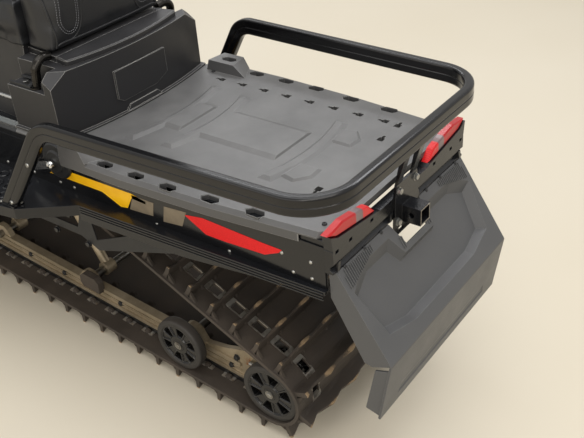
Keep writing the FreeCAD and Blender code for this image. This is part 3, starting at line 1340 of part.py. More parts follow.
def lamp_prism(grow):
    """The outline of both headlamps seen from ahead, run back through the hood."""
    outline = [(62, 742), (150, 742), (248, 778), (262, 812), (210, 806), (70, 770)]
    prisms = []
    for side in (1, -1):
        ring = [Vector(2300, side * y, z) for y, z in outline]
        face = Part.Face(Part.makePolygon(ring + ring[:1]))
        prisms.append((face.makeOffset2D(grow) if grow else face).extrude(Vector(500, 0, 0)))
    return Part.makeCompound(prisms)


headlamp_shape = hood_shape.common(lamp_prism(0))
hood_shape = hood_shape.cut(lamp_prism(value("seat_gap")))
hood = shaped("hood_shell", "level", largest(hood_shape.cut(rear_opening)))
keep(shaped("headlamps", "level", Part.makeCompound(headlamp_shape.Solids)))
left_cowl = shaped("left_side_cowl", "level", largest(cowl_shape.cut(rear_opening)))
keep(left_cowl)
keep(mirrored(left_cowl, "right_side_cowl"))
keep(shaped("nose_panel", "level", largest(nose_shape)))

pan = new_body("belly_pan", "level")
block(pan, "side", [("1735", "262"), ("1760", "236"), ("2560", "236"), ("2690", "300"), ("2690", "312"),
                    ("2552", "248"), ("2540", "262")], "-frame_half - 28", "frame_half + 28")
keep(pan)

# ---------------------------------------------------------------- console and windshield
console = new_body("console_block", "tunnel")
console_tail = "seat_base_front + 45"
block(console, "side", [(console_tail, "tunnel_roof"), ("seat_base_front + 195", "tunnel_roof"),
                        ("seat_base_front + 195", "976"), ("seat_base_front + 95", "986"),
                        (console_tail, "900")],
      "-140", "140")
dress(console, "Chamfer", 26, lambda edge: edge.BoundBox.XLength > 20 and edge.BoundBox.YLength < 0.1
      and edge.BoundBox.ZMin > 880)
column_radius = 14
HEAD = Vector(1450, 0, 1085)


def column_hole(label, clearance):
    """A cylinder along the steering column, to be cut from what the column passes through."""
    tool = doc.addObject("Part::Cylinder", label)
    tool.Radius = column_radius + clearance
    tool.Height = column_depth + 40
    tool.Placement = Placement(HEAD + Vector(value(SHIFT), 0, 0),
                               Rotation(Vector(0, 1, 0), 180 - value("steering_rake")))
    tie(tool, "Placement.Base.x", f"{HEAD.x} + {SHIFT}")
    tie(tool, "Placement.Rotation.Angle", "180 - steering_rake")
    return tool


def cut_from(base, tool, label):
    piece = doc.addObject("Part::Cut", label)
    piece.Label = label
    piece.Base = base
    piece.Tool = tool
    return piece


column_depth = 300
keep(cut_from(console, column_hole("column_bearing", value("seat_gap")), "console"))
keep(cut_from(hood, column_hole("column_opening", 6), "hood"))



def shield_shape():
    """A curved clear sheet: an arc in plan, leaned back and narrowed towards its top."""
    thick = value("shield_thick")
    top = value("shield_top")

    def arc(centre_x, height, half, sag, grow):
        a = Vector(centre_x - sag, -half, height)
        b = Vector(centre_x + grow, 0, height)
        c = Vector(centre_x - sag, half, height)
        a2, b2, c2 = a + Vector(0, thick, 0), b - Vector(thick, 0, 0), c - Vector(0, thick, 0)
        return Part.Wire([Part.Arc(a, b, c).toShape(), Part.LineSegment(c, c2).toShape(),
                          Part.Arc(c2, b2, a2).toShape(), Part.LineSegment(a2, a).toShape()])

    return Part.makeLoft([arc(1900, 850, 250, 150, 0), arc(1815, 1120, 285, 150, 0),
                          arc(1715, top, 200, 110, 0)],
                         True, False)


keep(shaped("windshield", "level", largest(shield_shape().cut(cover_loft(-value("seat_gap"))))))

# ---------------------------------------------------------------- control arms and front shocks
lean = math.tan(math.radians(value("spindle_rake")))


def post_point(height):
    """A point on the left ski post's axis."""
    return Vector(value("steer_station") - (height - value("ski_bolt_height")) * lean,
                  value("spindle_line"), height)


LOWER_BALL, UPPER_BALL = 262, 408
knuckle, boss = 19, 17
shock_foot_line, shock_foot_height = 330, 274


def control_arms_shape():
    """Upper and lower A-arms, each two tubes that meet in a ball-joint boss by the post."""
    half = value("frame_half")
    solids = []
    for ball_height, inner_height, spread in ((LOWER_BALL, 286, 130), (UPPER_BALL, 428, 95)):
        ball = post_point(ball_height)
        boss_end = ball - Vector(0, knuckle + boss + value("seat_gap"), 0)
        legs = []
        for way in (-1, 1):
            inner = Vector(ball.x + way * spread, half + 16, inner_height)
            legs.append(rod(inner, boss_end + Vector(0, -12, 0), 12))
            legs.append(rod(inner - Vector(22, 0, 0), inner + Vector(22, 0, 0), 15.5))
        tilt = (post_point(ball_height + 15) - ball)
        legs.append(rod(boss_end - tilt, boss_end + tilt, boss))
        if ball_height == LOWER_BALL:
            legs.append(rod(Vector(ball.x - 60, shock_foot_line, shock_foot_height),
                            Vector(ball.x + 60, shock_foot_line, shock_foot_height), shock_pin))
        solids.append(fused(legs))
    return Part.makeCompound(solids)


left_arms = shaped("left_control_arms", "level", control_arms_shape())
keep(left_arms)
keep(mirrored(left_arms, "right_control_arms"))

# ---------------------------------------------------------------- ski posts and skis


def spindle_shape():
    """The ski post: a raked bar from the upper ball joint down to the ski's saddle."""
    top, low = post_point(UPPER_BALL + 24), post_point(value("ski_bolt_height") + 18)
    post = rod(low, top, 14.5)
    knuckles = [rod(post_point(h - 17), post_point(h + 17), knuckle) for h in (LOWER_BALL, UPPER_BALL)]
    arm_foot = post_point(338)
    arm_end = Vector(arm_foot.x - 84, arm_foot.y, 338)
    arm = box_between(Vector(arm_end.x - 14, arm_end.y - 14, 328), Vector(arm_foot.x, arm_foot.y + 14, 340))
    saddle_low = value("ski_bolt_height") + 30
    x, line = value("steer_station"), value("ski_line")
    block_top = box_between(Vector(x - 45, line - 38, saddle_low - 16),
                            Vector(x + 45, line + 20, saddle_low + 14))
    return fused([post] + knuckles + [arm, block_top])


left_spindle = shaped("left_ski_post", "level", spindle_shape())
keep(left_spindle)
keep(mirrored(left_spindle, "right_ski_post"))


def ski_shape():
    """A ski: a flat runner that curls up in front, with a keel, a saddle and a loop handle."""
    x = value("steer_station")
    tail, tip = value("ski_tail"), value("nose_station")
    thick, half = value("ski_thick"), value("ski_wide") / 2
    line = value("ski_line")
    keel = 10
    reach = tip - x
    bend, rise, curl = x + 0.445 * reach, x + 0.684 * reach, x + 0.89 * reach

    def runner(lift, from_x):
        """The runner's lower line as points, at a lift above it."""
        return [Vector(from_x, 0, 26 + lift), Vector(tail + 90, 0, keel + lift), Vector(bend, 0, keel + lift)]

    lower, upper = runner(0, tail), runner(thick, tail)
    nose_low = [Vector(bend, 0, keel), Vector(rise, 0, keel + 30), Vector(curl, 0, 130), Vector(tip, 0, 268)]
    nose_high = [Vector(bend, 0, keel + thick), Vector(rise - 5, 0, keel + 30 + thick),
                 Vector(curl - 10, 0, 130 + thick), Vector(tip - 12, 0, 278)]

    def curve(points):
        spline = Part.BSplineCurve()
        spline.interpolate(Points=points, InitialTangent=Vector(1, 0, 0), FinalTangent=Vector(0.62, 0, 0.78))
        return spline.toShape()

    edges = [Part.LineSegment(lower[0], lower[1]).toShape(), Part.LineSegment(lower[1], lower[2]).toShape(),
             curve(nose_low), Part.LineSegment(nose_low[-1], nose_high[-1]).toShape(), curve(nose_high),
             Part.LineSegment(upper[2], upper[1]).toShape(), Part.LineSegment(upper[1], upper[0]).toShape(),
             Part.LineSegment(upper[0], lower[0]).toShape()]
    face = Part.Face(Part.Wire(Part.__sortEdges__(edges)))
    face.translate(Vector(0, line - half, 0))
    body = face.extrude(Vector(0, 2 * half, 0))
    plan = [Vector(tail, line - half * 0.72, -50), Vector(tail, line + half * 0.72, -50),
            Vector(tail + 160, line + half, -50), Vector(bend + 50, line + half, -50),
            Vector(tip - 70, line + half * 0.66, -50), Vector(tip, line + half * 0.3, -50),
            Vector(tip, line - half * 0.3, -50), Vector(tip - 70, line - half * 0.66, -50),
            Vector(bend + 50, line - half, -50), Vector(tail + 160, line - half, -50)]
    trim = Part.Face(Part.makePolygon(plan + plan[:1])).extrude(Vector(0, 0, 500))
    body = body.common(trim)
    runner_keel = box_between(Vector(tail + 120, line - 9, 0), Vector(bend - 20, line + 9, keel + 2))
    cheeks = []
    for side in (-1, 1):
        ring = [Vector(x - 150, line + side * 34, keel + thick - 1),
                Vector(x + 150, line + side * 34, keel + thick - 1),
                Vector(x + 40, line + side * 34, value("ski_bolt_height") - 10),
                Vector(x - 40, line + side * 34, value("ski_bolt_height") - 10)]
        cheeks.append(Part.Face(Part.makePolygon(ring + ring[:1])).extrude(Vector(0, side * 10, 0)))
    saddle = box_between(Vector(x - 40, line - 44, value("ski_bolt_height") - 22),
                         Vector(x + 40, line + 44, value("ski_bolt_height") + 14))
    handle = round_tube([Vector(bend + 20, line, keel + thick - 2), Vector(bend + 100, line, 196),
                         Vector(tip - 40, line, 300), Vector(tip - 26, line, 262)], [45, 12], 9)
    return fused([body, runner_keel, saddle, handle] + cheeks)


left_ski = shaped("left_ski", "level", ski_shape())
keep(left_ski)
keep(mirrored(left_ski, "right_ski"))


def front_shock_shape():
    low = Vector(post_point(LOWER_BALL).x, shock_foot_line, shock_foot_height)
    high = Vector(shock_top_x, value("frame_half") + 16, shock_top_z)
    return shock(low, high, Vector(1, 0, 0), 19, shock_pin, shock_pin)


left_front_shock = shaped("left_front_shock", "level", front_shock_shape())
keep(both_sides(left_front_shock, "front_shocks"))

# ---------------------------------------------------------------- tie rods
# Each rod lies across the machine and ends in an eye on its post's steering arm.
arm_x = post_point(338).x - 84


def tie_rod_shape():
    z = 328 - value("seat_gap") - 14
    eye = Part.makeCylinder(12, 14, Vector(arm_x, value("spindle_line"), z), Vector(0, 0, 1))
    bar = rod(Vector(arm_x, 96, z + 7), Vector(arm_x, value("spindle_line"), z + 7), 6.5)
    return fused([eye, bar])


left_tie = shaped("left_tie_rod", "level", tie_rod_shape())
keep(left_tie)
keep(mirrored(left_tie, "right_tie_rod"))

# ---------------------------------------------------------------- bumper, lamps and handlebar


def bumper_shape():
    half = value("frame_half") - 20
    points = [Vector(frame_x1, half, 436), Vector(2580, half, 436), Vector(2680, half + 25, 440),
              Vector(2790, half + 5, 520)]
    points += [Vector(p.x, -p.y, p.z) for p in reversed(points)]
    return round_tube(points, [90, 90, 45, 45, 90, 90], 14)


keep(shaped("front_bumper", "level", bumper_shape()))

def handlebar_shape():
    """Column, bar, grips and levers, built upright about the column and then leaned."""
    half = value("bar_half")
    radius = value("bar_tube")
    column = rod(Vector(0, 0, -column_depth), Vector(0, 0, 10), column_radius)
    clamp = box_between(Vector(-30, -45, -12), Vector(30, 45, 22))
    points = [Vector(0, -half, 10), Vector(30, -half + 180, 55), Vector(0, -60, 5), Vector(0, 60, 5),
              Vector(30, half - 180, 55), Vector(0, half, 10)]
    bar = round_tube(points, [60, 60, 60, 60], radius)
    grips = [rod(points[0], points[0] + (points[1] - points[0]) * 0.62, radius + 6),
             rod(points[-1], points[-1] + (points[-2] - points[-1]) * 0.62, radius + 6)]
    whole = fused([column, clamp, bar] + grips)
    whole.rotate(Vector(0, 0, 0), Vector(0, 1, 0), -value("steering_rake"))
    whole.translate(HEAD)
    return whole


keep(shaped("handlebar", "level", handlebar_shape()))

# ---------------------------------------------------------------- check and write
doc.recompute()
for thing in doc.Objects:
    if {"Invalid", "Error"} & set(thing.State):
        raise RuntimeError(f"{thing.Label} did not build: {thing.State}")
for node in nodes:
    if node.Shape.isNull() or not node.Shape.isValid():
        raise RuntimeError(f"{node.Label} has no valid shape")
os.makedirs("parts", exist_ok=True)
for node in nodes:
    node.Shape.exportStep(f"parts/{node.Label}.step")
print(len(nodes), "sub-parts written")
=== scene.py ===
"""A wide-track utility snowmobile: finishes, soft seats, tread, graphics and small hardware."""
import math

import bmesh
import bpy
import numpy as np
from mathutils import Matrix, Vector
from mathutils.bvhtree import BVHTree


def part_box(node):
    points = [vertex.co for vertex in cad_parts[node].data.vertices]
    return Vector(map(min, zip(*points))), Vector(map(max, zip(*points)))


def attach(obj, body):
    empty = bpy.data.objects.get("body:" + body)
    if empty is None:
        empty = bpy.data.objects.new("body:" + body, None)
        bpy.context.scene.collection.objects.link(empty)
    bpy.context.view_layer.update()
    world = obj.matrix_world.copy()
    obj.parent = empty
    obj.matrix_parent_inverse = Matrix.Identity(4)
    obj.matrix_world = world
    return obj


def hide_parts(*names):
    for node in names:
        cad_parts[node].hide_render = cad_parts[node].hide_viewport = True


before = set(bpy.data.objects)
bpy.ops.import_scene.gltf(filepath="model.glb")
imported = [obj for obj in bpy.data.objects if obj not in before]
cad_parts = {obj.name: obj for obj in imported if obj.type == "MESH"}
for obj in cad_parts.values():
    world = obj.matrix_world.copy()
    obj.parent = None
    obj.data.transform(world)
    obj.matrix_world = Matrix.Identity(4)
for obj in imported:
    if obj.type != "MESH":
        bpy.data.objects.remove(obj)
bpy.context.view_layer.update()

# ---------------------------------------------------------------- camera
# A standing person's view from behind and to the left of the cargo deck.
yaw, pitch = -0.942998, 0.630455
eye = (-2.20699, 1.34265, 1.65437)
ahead = np.array([math.cos(yaw) * math.cos(pitch), math.sin(yaw) * math.cos(pitch), -math.sin(pitch)])
right = np.array([math.sin(yaw), -math.cos(yaw), 0.0])
up = np.cross(right, ahead)
camera = bpy.data.objects.new("camera", bpy.data.cameras.new("camera"))
camera.matrix_world = Matrix([[*row, place] for row, place in zip(np.column_stack([right, up, -ahead]), eye)]
                             + [[0, 0, 0, 1]])
camera.data.sensor_width = 36
camera.data.lens = 52.795
camera.data.clip_end = 100
bpy.context.scene.collection.objects.link(camera)
bpy.context.scene.camera = camera

# ---------------------------------------------------------------- studio
# A plain cream floor under broad soft lamps overhead, with long strips that draw bright
# lines along the tubes.
bpy.context.scene.view_settings.view_transform = "Standard"


def paint(code):
    """The linear colour of an sRGB hex value: v / 12.92 below 0.04045, ((v + 0.055) / 1.055) ** 2.4 above."""
    parts = [int(code[i:i + 2], 16) / 255 for i in (1, 3, 5)]
    return (*[v / 12.92 if v <= 0.04045 else ((v + 0.055) / 1.055) ** 2.4 for v in parts], 1.0)


def wire(node, links):
    """Set or link each named socket of a node: a hex value is painted, a node stands for its first output."""
    for socket, source in links.items():
        if isinstance(source, str):
            source = paint(source)
        if isinstance(source, bpy.types.Node):
            source = source.outputs[0]
        if isinstance(source, bpy.types.NodeSocket):
            node.id_data.links.new(source, node.inputs[socket])
        else:
            node.inputs[socket].default_value = source


def add(tree, kind, links={}, stops=(), **settings):
    """A shader node with its settings, its colour stops, its socket values and the links into it."""
    made = tree.nodes.new("ShaderNode" + kind)
    for name, setting in settings.items():
        setattr(made, name, setting)
    wire(made, links)
    for index, (place, colour) in enumerate(stops):
        stop = made.color_ramp.elements[0] if index == 0 else made.color_ramp.elements.new(place)
        stop.position, stop.color = place, paint(colour)
        if index == 0:
            made.color_ramp.elements.remove(made.color_ramp.elements[1])
    return made


def finish(name, **values):
    """A material with its tree, its Principled shader and its Object coordinates."""
    material = bpy.data.materials.new(name)
    material.use_nodes = True
    tree = material.node_tree
    shader = tree.nodes["Principled BSDF"]
    wire(shader, {socket.replace("_", " "): value for socket, value in values.items()})
    return material, tree, shader, add(tree, "TexCoord").outputs["Object"]


def mottled(name, light, dark, size, gloss=None, between=(0.35, 0.68), detail=4.0, tooth=0.6, **values):
    """A finish whose tone wanders from light to dark, over noise with cells of size millimetres.

    between gives the noise values at which the two tones are reached. With gloss, the roughness
    wanders between its two values over the same noise.
    """
    material, tree, shader, place = finish(name, **values)
    cloud = add(tree, "TexNoise", {"Vector": place, "Scale": 1000 / size, "Detail": detail, "Roughness": tooth})
    tones = list(zip(between, (light, dark)))
    wire(shader, {"Base Color": add(tree, "ValToRGB", {"Fac": cloud}, stops=tones)})
    if gloss:
        wire(shader, {"Roughness": add(tree, "MapRange", dict(enumerate((cloud, *between, *gloss))))})
    return material


world = bpy.data.worlds.new("studio")
bpy.context.scene.world = world
world.use_nodes = True
sky = add(world.node_tree, "Background", {"Color": "#F4F2EE", "Strength": 0.72})
wire(world.node_tree.nodes["World Output"], {"Surface": sky})

for name, place, turn, size, power, colour in (("ceiling", (-0.6, 0.4, 4.2), (0, 0, 0), (5.0, 3.2), 84,
                                                "#FFFFFF"), ("far_strip", (0.6, -2.6, 3.4), (0.75, 0, 0),
                                                             (6.0, 0.5), 60, "#FBFCFF"),
                                               ("near_strip", (-3.4, 1.9, 3.2), (-0.5, -0.75, 0), (0.6, 4.5),
                                                48, "#FFF8EE"), ("side_fill", (-1.0, 4.6, 2.0), (-1.2, 0, -0.1),
                                                                 (6.0, 2.4), 46, "#FFF7EC")):
    lamp = bpy.data.objects.new(name, bpy.data.lights.new(name, "AREA"))
    lamp.data.shape = "RECTANGLE"
    lamp.data.size, lamp.data.size_y = size
    lamp.data.energy = power
    lamp.data.color = paint(colour)[:3]
    lamp.location, lamp.rotation_euler = place, turn
    bpy.context.scene.collection.objects.link(lamp)

# Sealed cream concrete: nearly even, with faint cloudy patches.
concrete = mottled("sealed_cream_concrete", "#D5CCB9", "#DAD2C1", 1000 / 0.7, None, (0.3, 0.7), 3.0, 0.5,
                   Roughness=0.62)


def piece(name, points, faces, material, body="machine", smooth=False, slot=None, solid=True):
    """An object at the origin from points and faces in the row frame, riding on a body.

    Doubles are merged, and a closed form has its faces turned outwards.
    """
    mesh = bpy.data.meshes.new(name)
    mesh.from_pydata(np.asarray(points, float).reshape(-1, 3).tolist(), [], [list(map(int, f)) for f in faces])
    form = bmesh.new()
    form.from_mesh(mesh)
    bmesh.ops.remove_doubles(form, verts=form.verts, dist=2e-6)
    if solid:
        bmesh.ops.recalc_face_normals(form, faces=form.faces)
    form.to_mesh(mesh)
    form.free()
    mesh.polygons.foreach_set("use_smooth", [smooth] * len(mesh.polygons))
    mesh.update()
    thing = bpy.data.objects.new(name, mesh)
    thing.data.materials.append(material)
    bpy.context.scene.collection.objects.link(thing)
    if body:
        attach(thing, body)
    return thing


floor = piece("floor", [(-30, -30, 0), (30, -30, 0), (30, 30, 0), (-30, 30, 0)], [(0, 1, 2, 3)], concrete, None,
              solid=False)

# ---------------------------------------------------------------- tunnel, boards and braces
# Folded aluminium sheet, riveted and coated in black powder, with cast braces bolted below
# the boards. The tunnel and all that is fixed to it slope nose-down by its pitch.
tunnel_pitch = math.radians(4.57)
datum = -1313.0


def at_tunnel(points):
    """Millimetres in the tunnel's frame as metres in the row's: turned by the pitch about Y, then shifted."""
    x, y, z = np.moveaxis(np.asarray(points, float), -1, 0)
    return np.stack([x * math.cos(tunnel_pitch) + z * math.sin(tunnel_pitch) + datum, y,
                     z * math.cos(tunnel_pitch) - x * math.sin(tunnel_pitch)], -1) / 1000


def at_level(points):
    """Millimetres in the level frame as metres in the row's: shifted along X."""
    return (np.asarray(points, float) + [datum, 0, 0]) / 1000


def joined(parts):
    """One set of points and faces from several."""
    points, faces, count = [], [], 0
    for some, links in parts:
        some = np.asarray(some, float).reshape(-1, 3)
        points.append(some)
        faces += [[int(i) + count for i in face] for face in links]
        count += len(some)
    return np.concatenate(points), faces


def both(parts):
    """The parts and their mirror images across the middle plane."""
    return parts + [(np.asarray(p, float) * [1, -1, 1], f) for p, f in parts]


def slab(base, crest):
    """A closed form between two outlines that have the same number of points."""
    count = len(base)
    i = np.arange(count)
    walls = np.stack([i, (i + 1) % count, (i + 1) % count + count, i + count], -1)
    return np.concatenate([base, crest]), [list(i[::-1]), list(i + count), *walls.tolist()]


def prism(view, outline, low, high):
    """An outline in a side, plan or cross view, carried between two distances along the view's axis."""
    flat = np.asarray(outline, float)
    ends = [np.full((len(flat), 1), float(d)) for d in (low, high)]
    order = {"side": [0, 2, 1], "plan": [0, 1, 2], "cross": [2, 0, 1]}[view]
    return slab(*(np.concatenate([flat, end], 1)[:, order] for end in ends))


def skin(rows, close_rows=False, close_columns=False):
    """The quads of a surface given as rows and columns of points, with its ends capped if it is a tube."""
    count, width = rows.shape[:2]
    r = np.arange(count if close_rows else count - 1)[:, None]
    c = np.arange(width if close_columns else width - 1)[None, :]
    r2, c2 = (r + 1) % count, (c + 1) % width
    quads = np.stack(np.broadcast_arrays(r * width + c, r * width + c2, r2 * width + c2, r2 * width + c), -1)
    faces = quads.reshape(-1, 4).tolist()
    if close_columns and not close_rows:
        faces += [list(range(width))[::-1], list(range((count - 1) * width, count * width))]
    return rows.reshape(-1, 3), faces


def turned(profile, centre, axis, sides):
    """A profile of (radius, distance) pairs turned about an axis through a centre.

    Each point is centre + distance * axis + radius * (cos a * u + sin a * v), with u and v
    square to the axis.
    """
    profile = np.asarray(profile, float)
    axis = np.asarray(axis, float) / np.linalg.norm(axis)
    u = np.cross(axis, [0.31, 0.2, 0.93] if abs(axis[2]) < 0.9 else [1.0, 0, 0])
    u /= np.linalg.norm(u)
    v = np.cross(axis, u)
    angle = np.arange(sides) * 2 * math.pi / sides
    ring = np.cos(angle)[:, None] * u + np.sin(angle)[:, None] * v
    rows = np.asarray(centre, float) + profile[:, 1, None, None] * axis + profile[:, 0, None, None] * ring
    return skin(rows, close_columns=True)


RIVET = [(4.6, -1), (4.6, 0), (4.0, 1.2), (2.4, 2.2), (0.6, 2.6)]
SCREW = [(5.5, -1), (5.5, 0.6), (5.2, 2.6), (4.2, 3.4), (2.6, 3.4), (2.4, 1.6), (0.5, 1.6)]
BOLT = [(9.5, -1), (9.5, 1.4), (7.5, 1.5), (7.4, 6.6), (6.4, 7.4), (0.5, 7.4)]


def fixings(profile, centres, axis, sides=6):
    """The same small turned head at several places."""
    return [turned(profile, centre, axis, sides) for centre in centres]


def soft_edges(tree, millimetres):
    """A normal that rounds sharp edges by a radius, and a mask that is white along them."""
    rounded = add(tree, "Bevel", {"Radius": millimetres / 1000}, samples=4)
    geometry = add(tree, "NewGeometry")
    along = add(tree, "VectorMath", {0: rounded, 1: geometry.outputs["Normal"]}, operation="DOT_PRODUCT")
    mask = add(tree, "MapRange", {0: along.outputs["Value"], 1: 0.99, 2: 0.8, 3: 0.0, 4: 1.0})
    return rounded, mask


def coated(name, colour, dust, grain, rough, edge=None, radius=1.2, depth=0.0002, lift=0.5, wear=0.55):
    """A moulded or coated surface: grain in the bump, dust on what faces up, and edges lightened towards the
    edge colour, part rubbing and part painted highlight.

    grain is the spacing of the pattern in millimetres and depth its height in metres; lift is
    how much of the dust colour settles on level faces, and wear how far the edges are lightened, by rubbing and
    painted highlight.
    """
    material, tree, shader, place = finish(name, Roughness=rough)
    normal, mask = soft_edges(tree, radius)
    pattern = add(tree, "TexNoise", {"Vector": place, "Scale": 1000 / grain, "Detail": 3.0, "Roughness": 0.6})
    cloud = add(tree, "TexNoise", {"Vector": place, "Scale": 9.0, "Detail": 5.0, "Roughness": 0.62})
    geometry = add(tree, "NewGeometry")
    upward = add(tree, "SeparateXYZ", {0: geometry.outputs["Normal"]})
    settle = add(tree, "MapRange", {0: upward.outputs["Z"], 1: 0.2, 2: 1.0, 3: 0.0, 4: lift})
    patchy = add(tree, "MapRange", {0: cloud, 1: 0.32, 2: 0.72, 3: 0.35, 4: 1.0})
    dusty = add(tree, "Math", {0: settle, 1: patchy}, operation="MULTIPLY")
    tint = add(tree, "Mix", {0: dusty, 6: colour, 7: dust}, data_type="RGBA")
    # Painted highlight: every sharp edge and crease is mixed towards the edge colour, standing for light caught
    # along it as well as rubbed wear.
    worn = add(tree, "Math", {0: mask, 1: wear}, operation="MULTIPLY")
    rubbed = add(tree, "Mix", {0: worn, 6: tint.outputs[2], 7: edge or dust}, data_type="RGBA")
    gloss = add(tree, "MapRange", {0: cloud, 1: 0.25, 2: 0.75, 3: rough * 0.86, 4: min(1, rough * 1.18)})
    bump = add(tree, "Bump", {"Height": pattern, "Normal": normal, "Distance": depth, "Strength": 0.6})
    wire(shader, {"Base Color": rubbed.outputs[2], "Roughness": gloss, "Normal": bump})
    return material


# Black powder coat: a faint orange peel a millimetre or two across, glossy, blue-black.
black_powder = coated("black_powder_coat", "#0F1013", "#24262B", 1.6, 0.22, edge="#3A3C40", lift=0.6)
# The same powder on castings and brackets is duller and coarser.
cast_powder = coated("cast_powder_coat", "#1C1D1F", "#3A3B3D", 2.6, 0.5, edge="#4A4B4C", depth=0.0004)
# Zinc plate on the screws and rivets: pale, with a soft sparkle.
zinc = mottled("zinc_plate", "#B2B2AF", "#9A9A96", 6, (0.24, 0.4), Metallic=1.0)


def fitted(place, name, parts, material, **about):
    """A piece made of parts in millimetres, put in the row's frame by at_tunnel or at_level."""
    points, faces = joined(parts)
    return piece(name, place(points), faces, material, **about)


def dress(material, *names):
    """Give CAD nodes a material in every slot."""
    for name in names:
        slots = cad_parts[name].data.materials
        slots.clear()
        slots.append(material)


dress(black_powder, "tunnel", "left_running_board", "right_running_board", "tail_bracket", "front_bumper",
      "hitch_receiver", "grab_handles", "handlebar", "cargo_rack", "suspension_arms")
dress(cast_powder, "board_braces", "front_frame", "left_control_arms", "right_control_arms")

# Hexagon bolts hold the braces under the boards' edges.
edge_bolts = fixings(BOLT, [(x, 278, z) for x, z in ((470, 392), (520, 462), (585, 396), (205, 503),
                                                     (640, 500))], (0, 1, 0))
fitted(at_tunnel, "brace_bolts", both(edge_bolts), black_powder)

# The boards' outer edge is extruded with three fine ribs; the tread is punched and raised.
# The edge widens from 274 mm at its tail to 305 mm at its front.
tail, front, tail_half, front_half = -241, 441, 274, 305
taper = (front_half - tail_half) / (front - tail)
ribs = [prism("side", [(tail + 5, z), (front - 3, z), (front - 3, z + 3), (tail + 5, z + 3)], 0, 2.2)
        for z in (506, 513, 520)]
ribs = [(np.stack([p[:, 0], p[:, 1] + tail_half + (p[:, 0] - tail) * taper - 0.4, p[:, 2]], -1), f)
        for p, f in ribs]
fitted(at_tunnel, "board_ribs", both(ribs), black_powder)
# Punched cups in staggered rows, 42 mm apart along the board and 34 mm across it.
along, beside = 42.0, 34.0
station, across = np.meshgrid(np.arange(640, 1300, along), np.arange(300, 440, beside), indexing="ij")
station = station + along / 2 * (np.round((across - 300) / beside) % 2)
inside = across < 402 + (station - 600) * 0.18 - 22
cups = [turned([(15, -1.5), (15, 1.6), (12.6, 2.8), (11, 2.2), (11, -1.5)], (x, y, 528), (0, 0, 1), 10)
        for x, y in zip(station[inside], across[inside])]
fitted(at_tunnel, "board_tread", both(cups), black_powder)

# ---------------------------------------------------------------- side panels
# Thin painted panels riveted to the tunnel's walls, with stuck-on bands: yellow, bronze and
# a long red reflector.
# Black enamel: smooth and glossy, with a little dust.
black_enamel = coated("black_enamel", "#0D0E11", "#1B1D22", 3.0, 0.2, lift=0.3, depth=0.0001)
dress(black_enamel, "left_side_panel", "right_side_panel")
WALL = 265.0  # half the tunnel's width over its panels
# Cast vinyl film: one strong colour that has faded a little in broad patches.
yellow_film = mottled("yellow_film", "#FCC303", "#F4B600", 40, (0.33, 0.47))
bronze_film = mottled("bronze_film", "#857A68", "#74695A", 40, (0.38, 0.5), Metallic=0.25)
# Reflector: bright red beads under clear film, seen as a slight sparkle.
red_film, tree, shader, place = finish("red_reflector_film", Roughness=0.4, Specular_IOR_Level=0.3)
beads = add(tree, "TexVoronoi", {"Vector": place, "Scale": 420.0})
wire(shader, {"Base Color": add(tree, "ValToRGB", {"Fac": beads.outputs["Distance"]},
                                stops=[(0.1, "#EE1B20"), (0.55, "#D90A12")])})
STRIPE = [(578, 558), (533, 582), (291, 586), (247, 578), (249, 571), (293, 573), (312, 541), (335, 537),
          (392, 560)]
BLOCKS = [[(291, 572), (291, 583), (222, 583), (230, 546), (305, 540)],
          [(190, 585), (123, 591), (141, 549), (199, 542)]]
REFLECTOR = [(130, 583), (77, 592), (-91, 586), (-134, 586), (-125, 576), (-88, 558), (16, 552), (72, 551)]
for name, outlines, film in (("yellow_stripe", [STRIPE], yellow_film), ("bronze_blocks", BLOCKS, bronze_film),
                             ("red_reflector", [REFLECTOR], red_film)):
    fitted(at_tunnel, name, both([prism("side", outline, WALL - 0.2, WALL + 0.5) for outline in outlines]),
           film)
rivets = [(x, WALL, z)
          for x, z in ((-204, 582), (-205, 542), (-159, 541), (-133, 579), (10, 530), (223, 526), (494, 540),
                       (544, 540), (641, 540), (746, 540), (860, 545), (960, 545), (1060, 545), (1160, 545),
                       (1250, 545), (800, 612), (950, 612), (1100, 612), (1250, 612))]
fitted(at_tunnel, "panel_rivets", both(fixings(RIVET, rivets, (0, 1, 0), 12)), zinc, smooth=True)

# Parking latch on the left wall: a bright lever with a ball end in front of a black disc.
disc = turned([(0.5, 0), (48, 0), (48, 5), (44, 9), (30, 9), (26, 13), (0.5, 13)], (532, WALL, 606), (0, 1, 0),
              36)
fitted(at_tunnel, "latch_disc", [disc], cast_powder)
# Bright chrome: pale and mirror-like, with a faint bloom.
chrome = mottled("bright_chrome", "#DCDCDA", "#CECDCA", 5, (0.12, 0.26), Metallic=1.0)
lever = [prism("side", [(628, 560), (632, 574), (545, 603), (540, 590)], 281, 285),
         prism("side", [(600, 585), (604, 592), (548, 609), (545, 602)], 285, 288),
         turned([(0.5, -11), (6, -9.6), (9.6, -5.5), (11, 0), (9.6, 5.5), (6, 9.6), (0.5, 11)], (538, 285, 600),
                (0, 1, 0), 20)]
fitted(at_tunnel, "latch_lever", lever, chrome)

# ---------------------------------------------------------------- cargo deck
# Thick moulded polyethylene with a stippled grain, scuffed by cargo. Steel-rimmed anchors
# line its sides and keyholes take the tie-down straps.
# Painted highlight: the pale edge colour lights the deck's edges and the anchors' rims, besides scuffing by
# cargo.
deck_plastic = coated("stippled_polyethylene", "#4F4F50", "#747474", 0.9, 0.4, edge="#A8A8A6", radius=1.6,
                      depth=0.0003, lift=0.85, wear=0.85)
dress(deck_plastic, "cargo_deck")
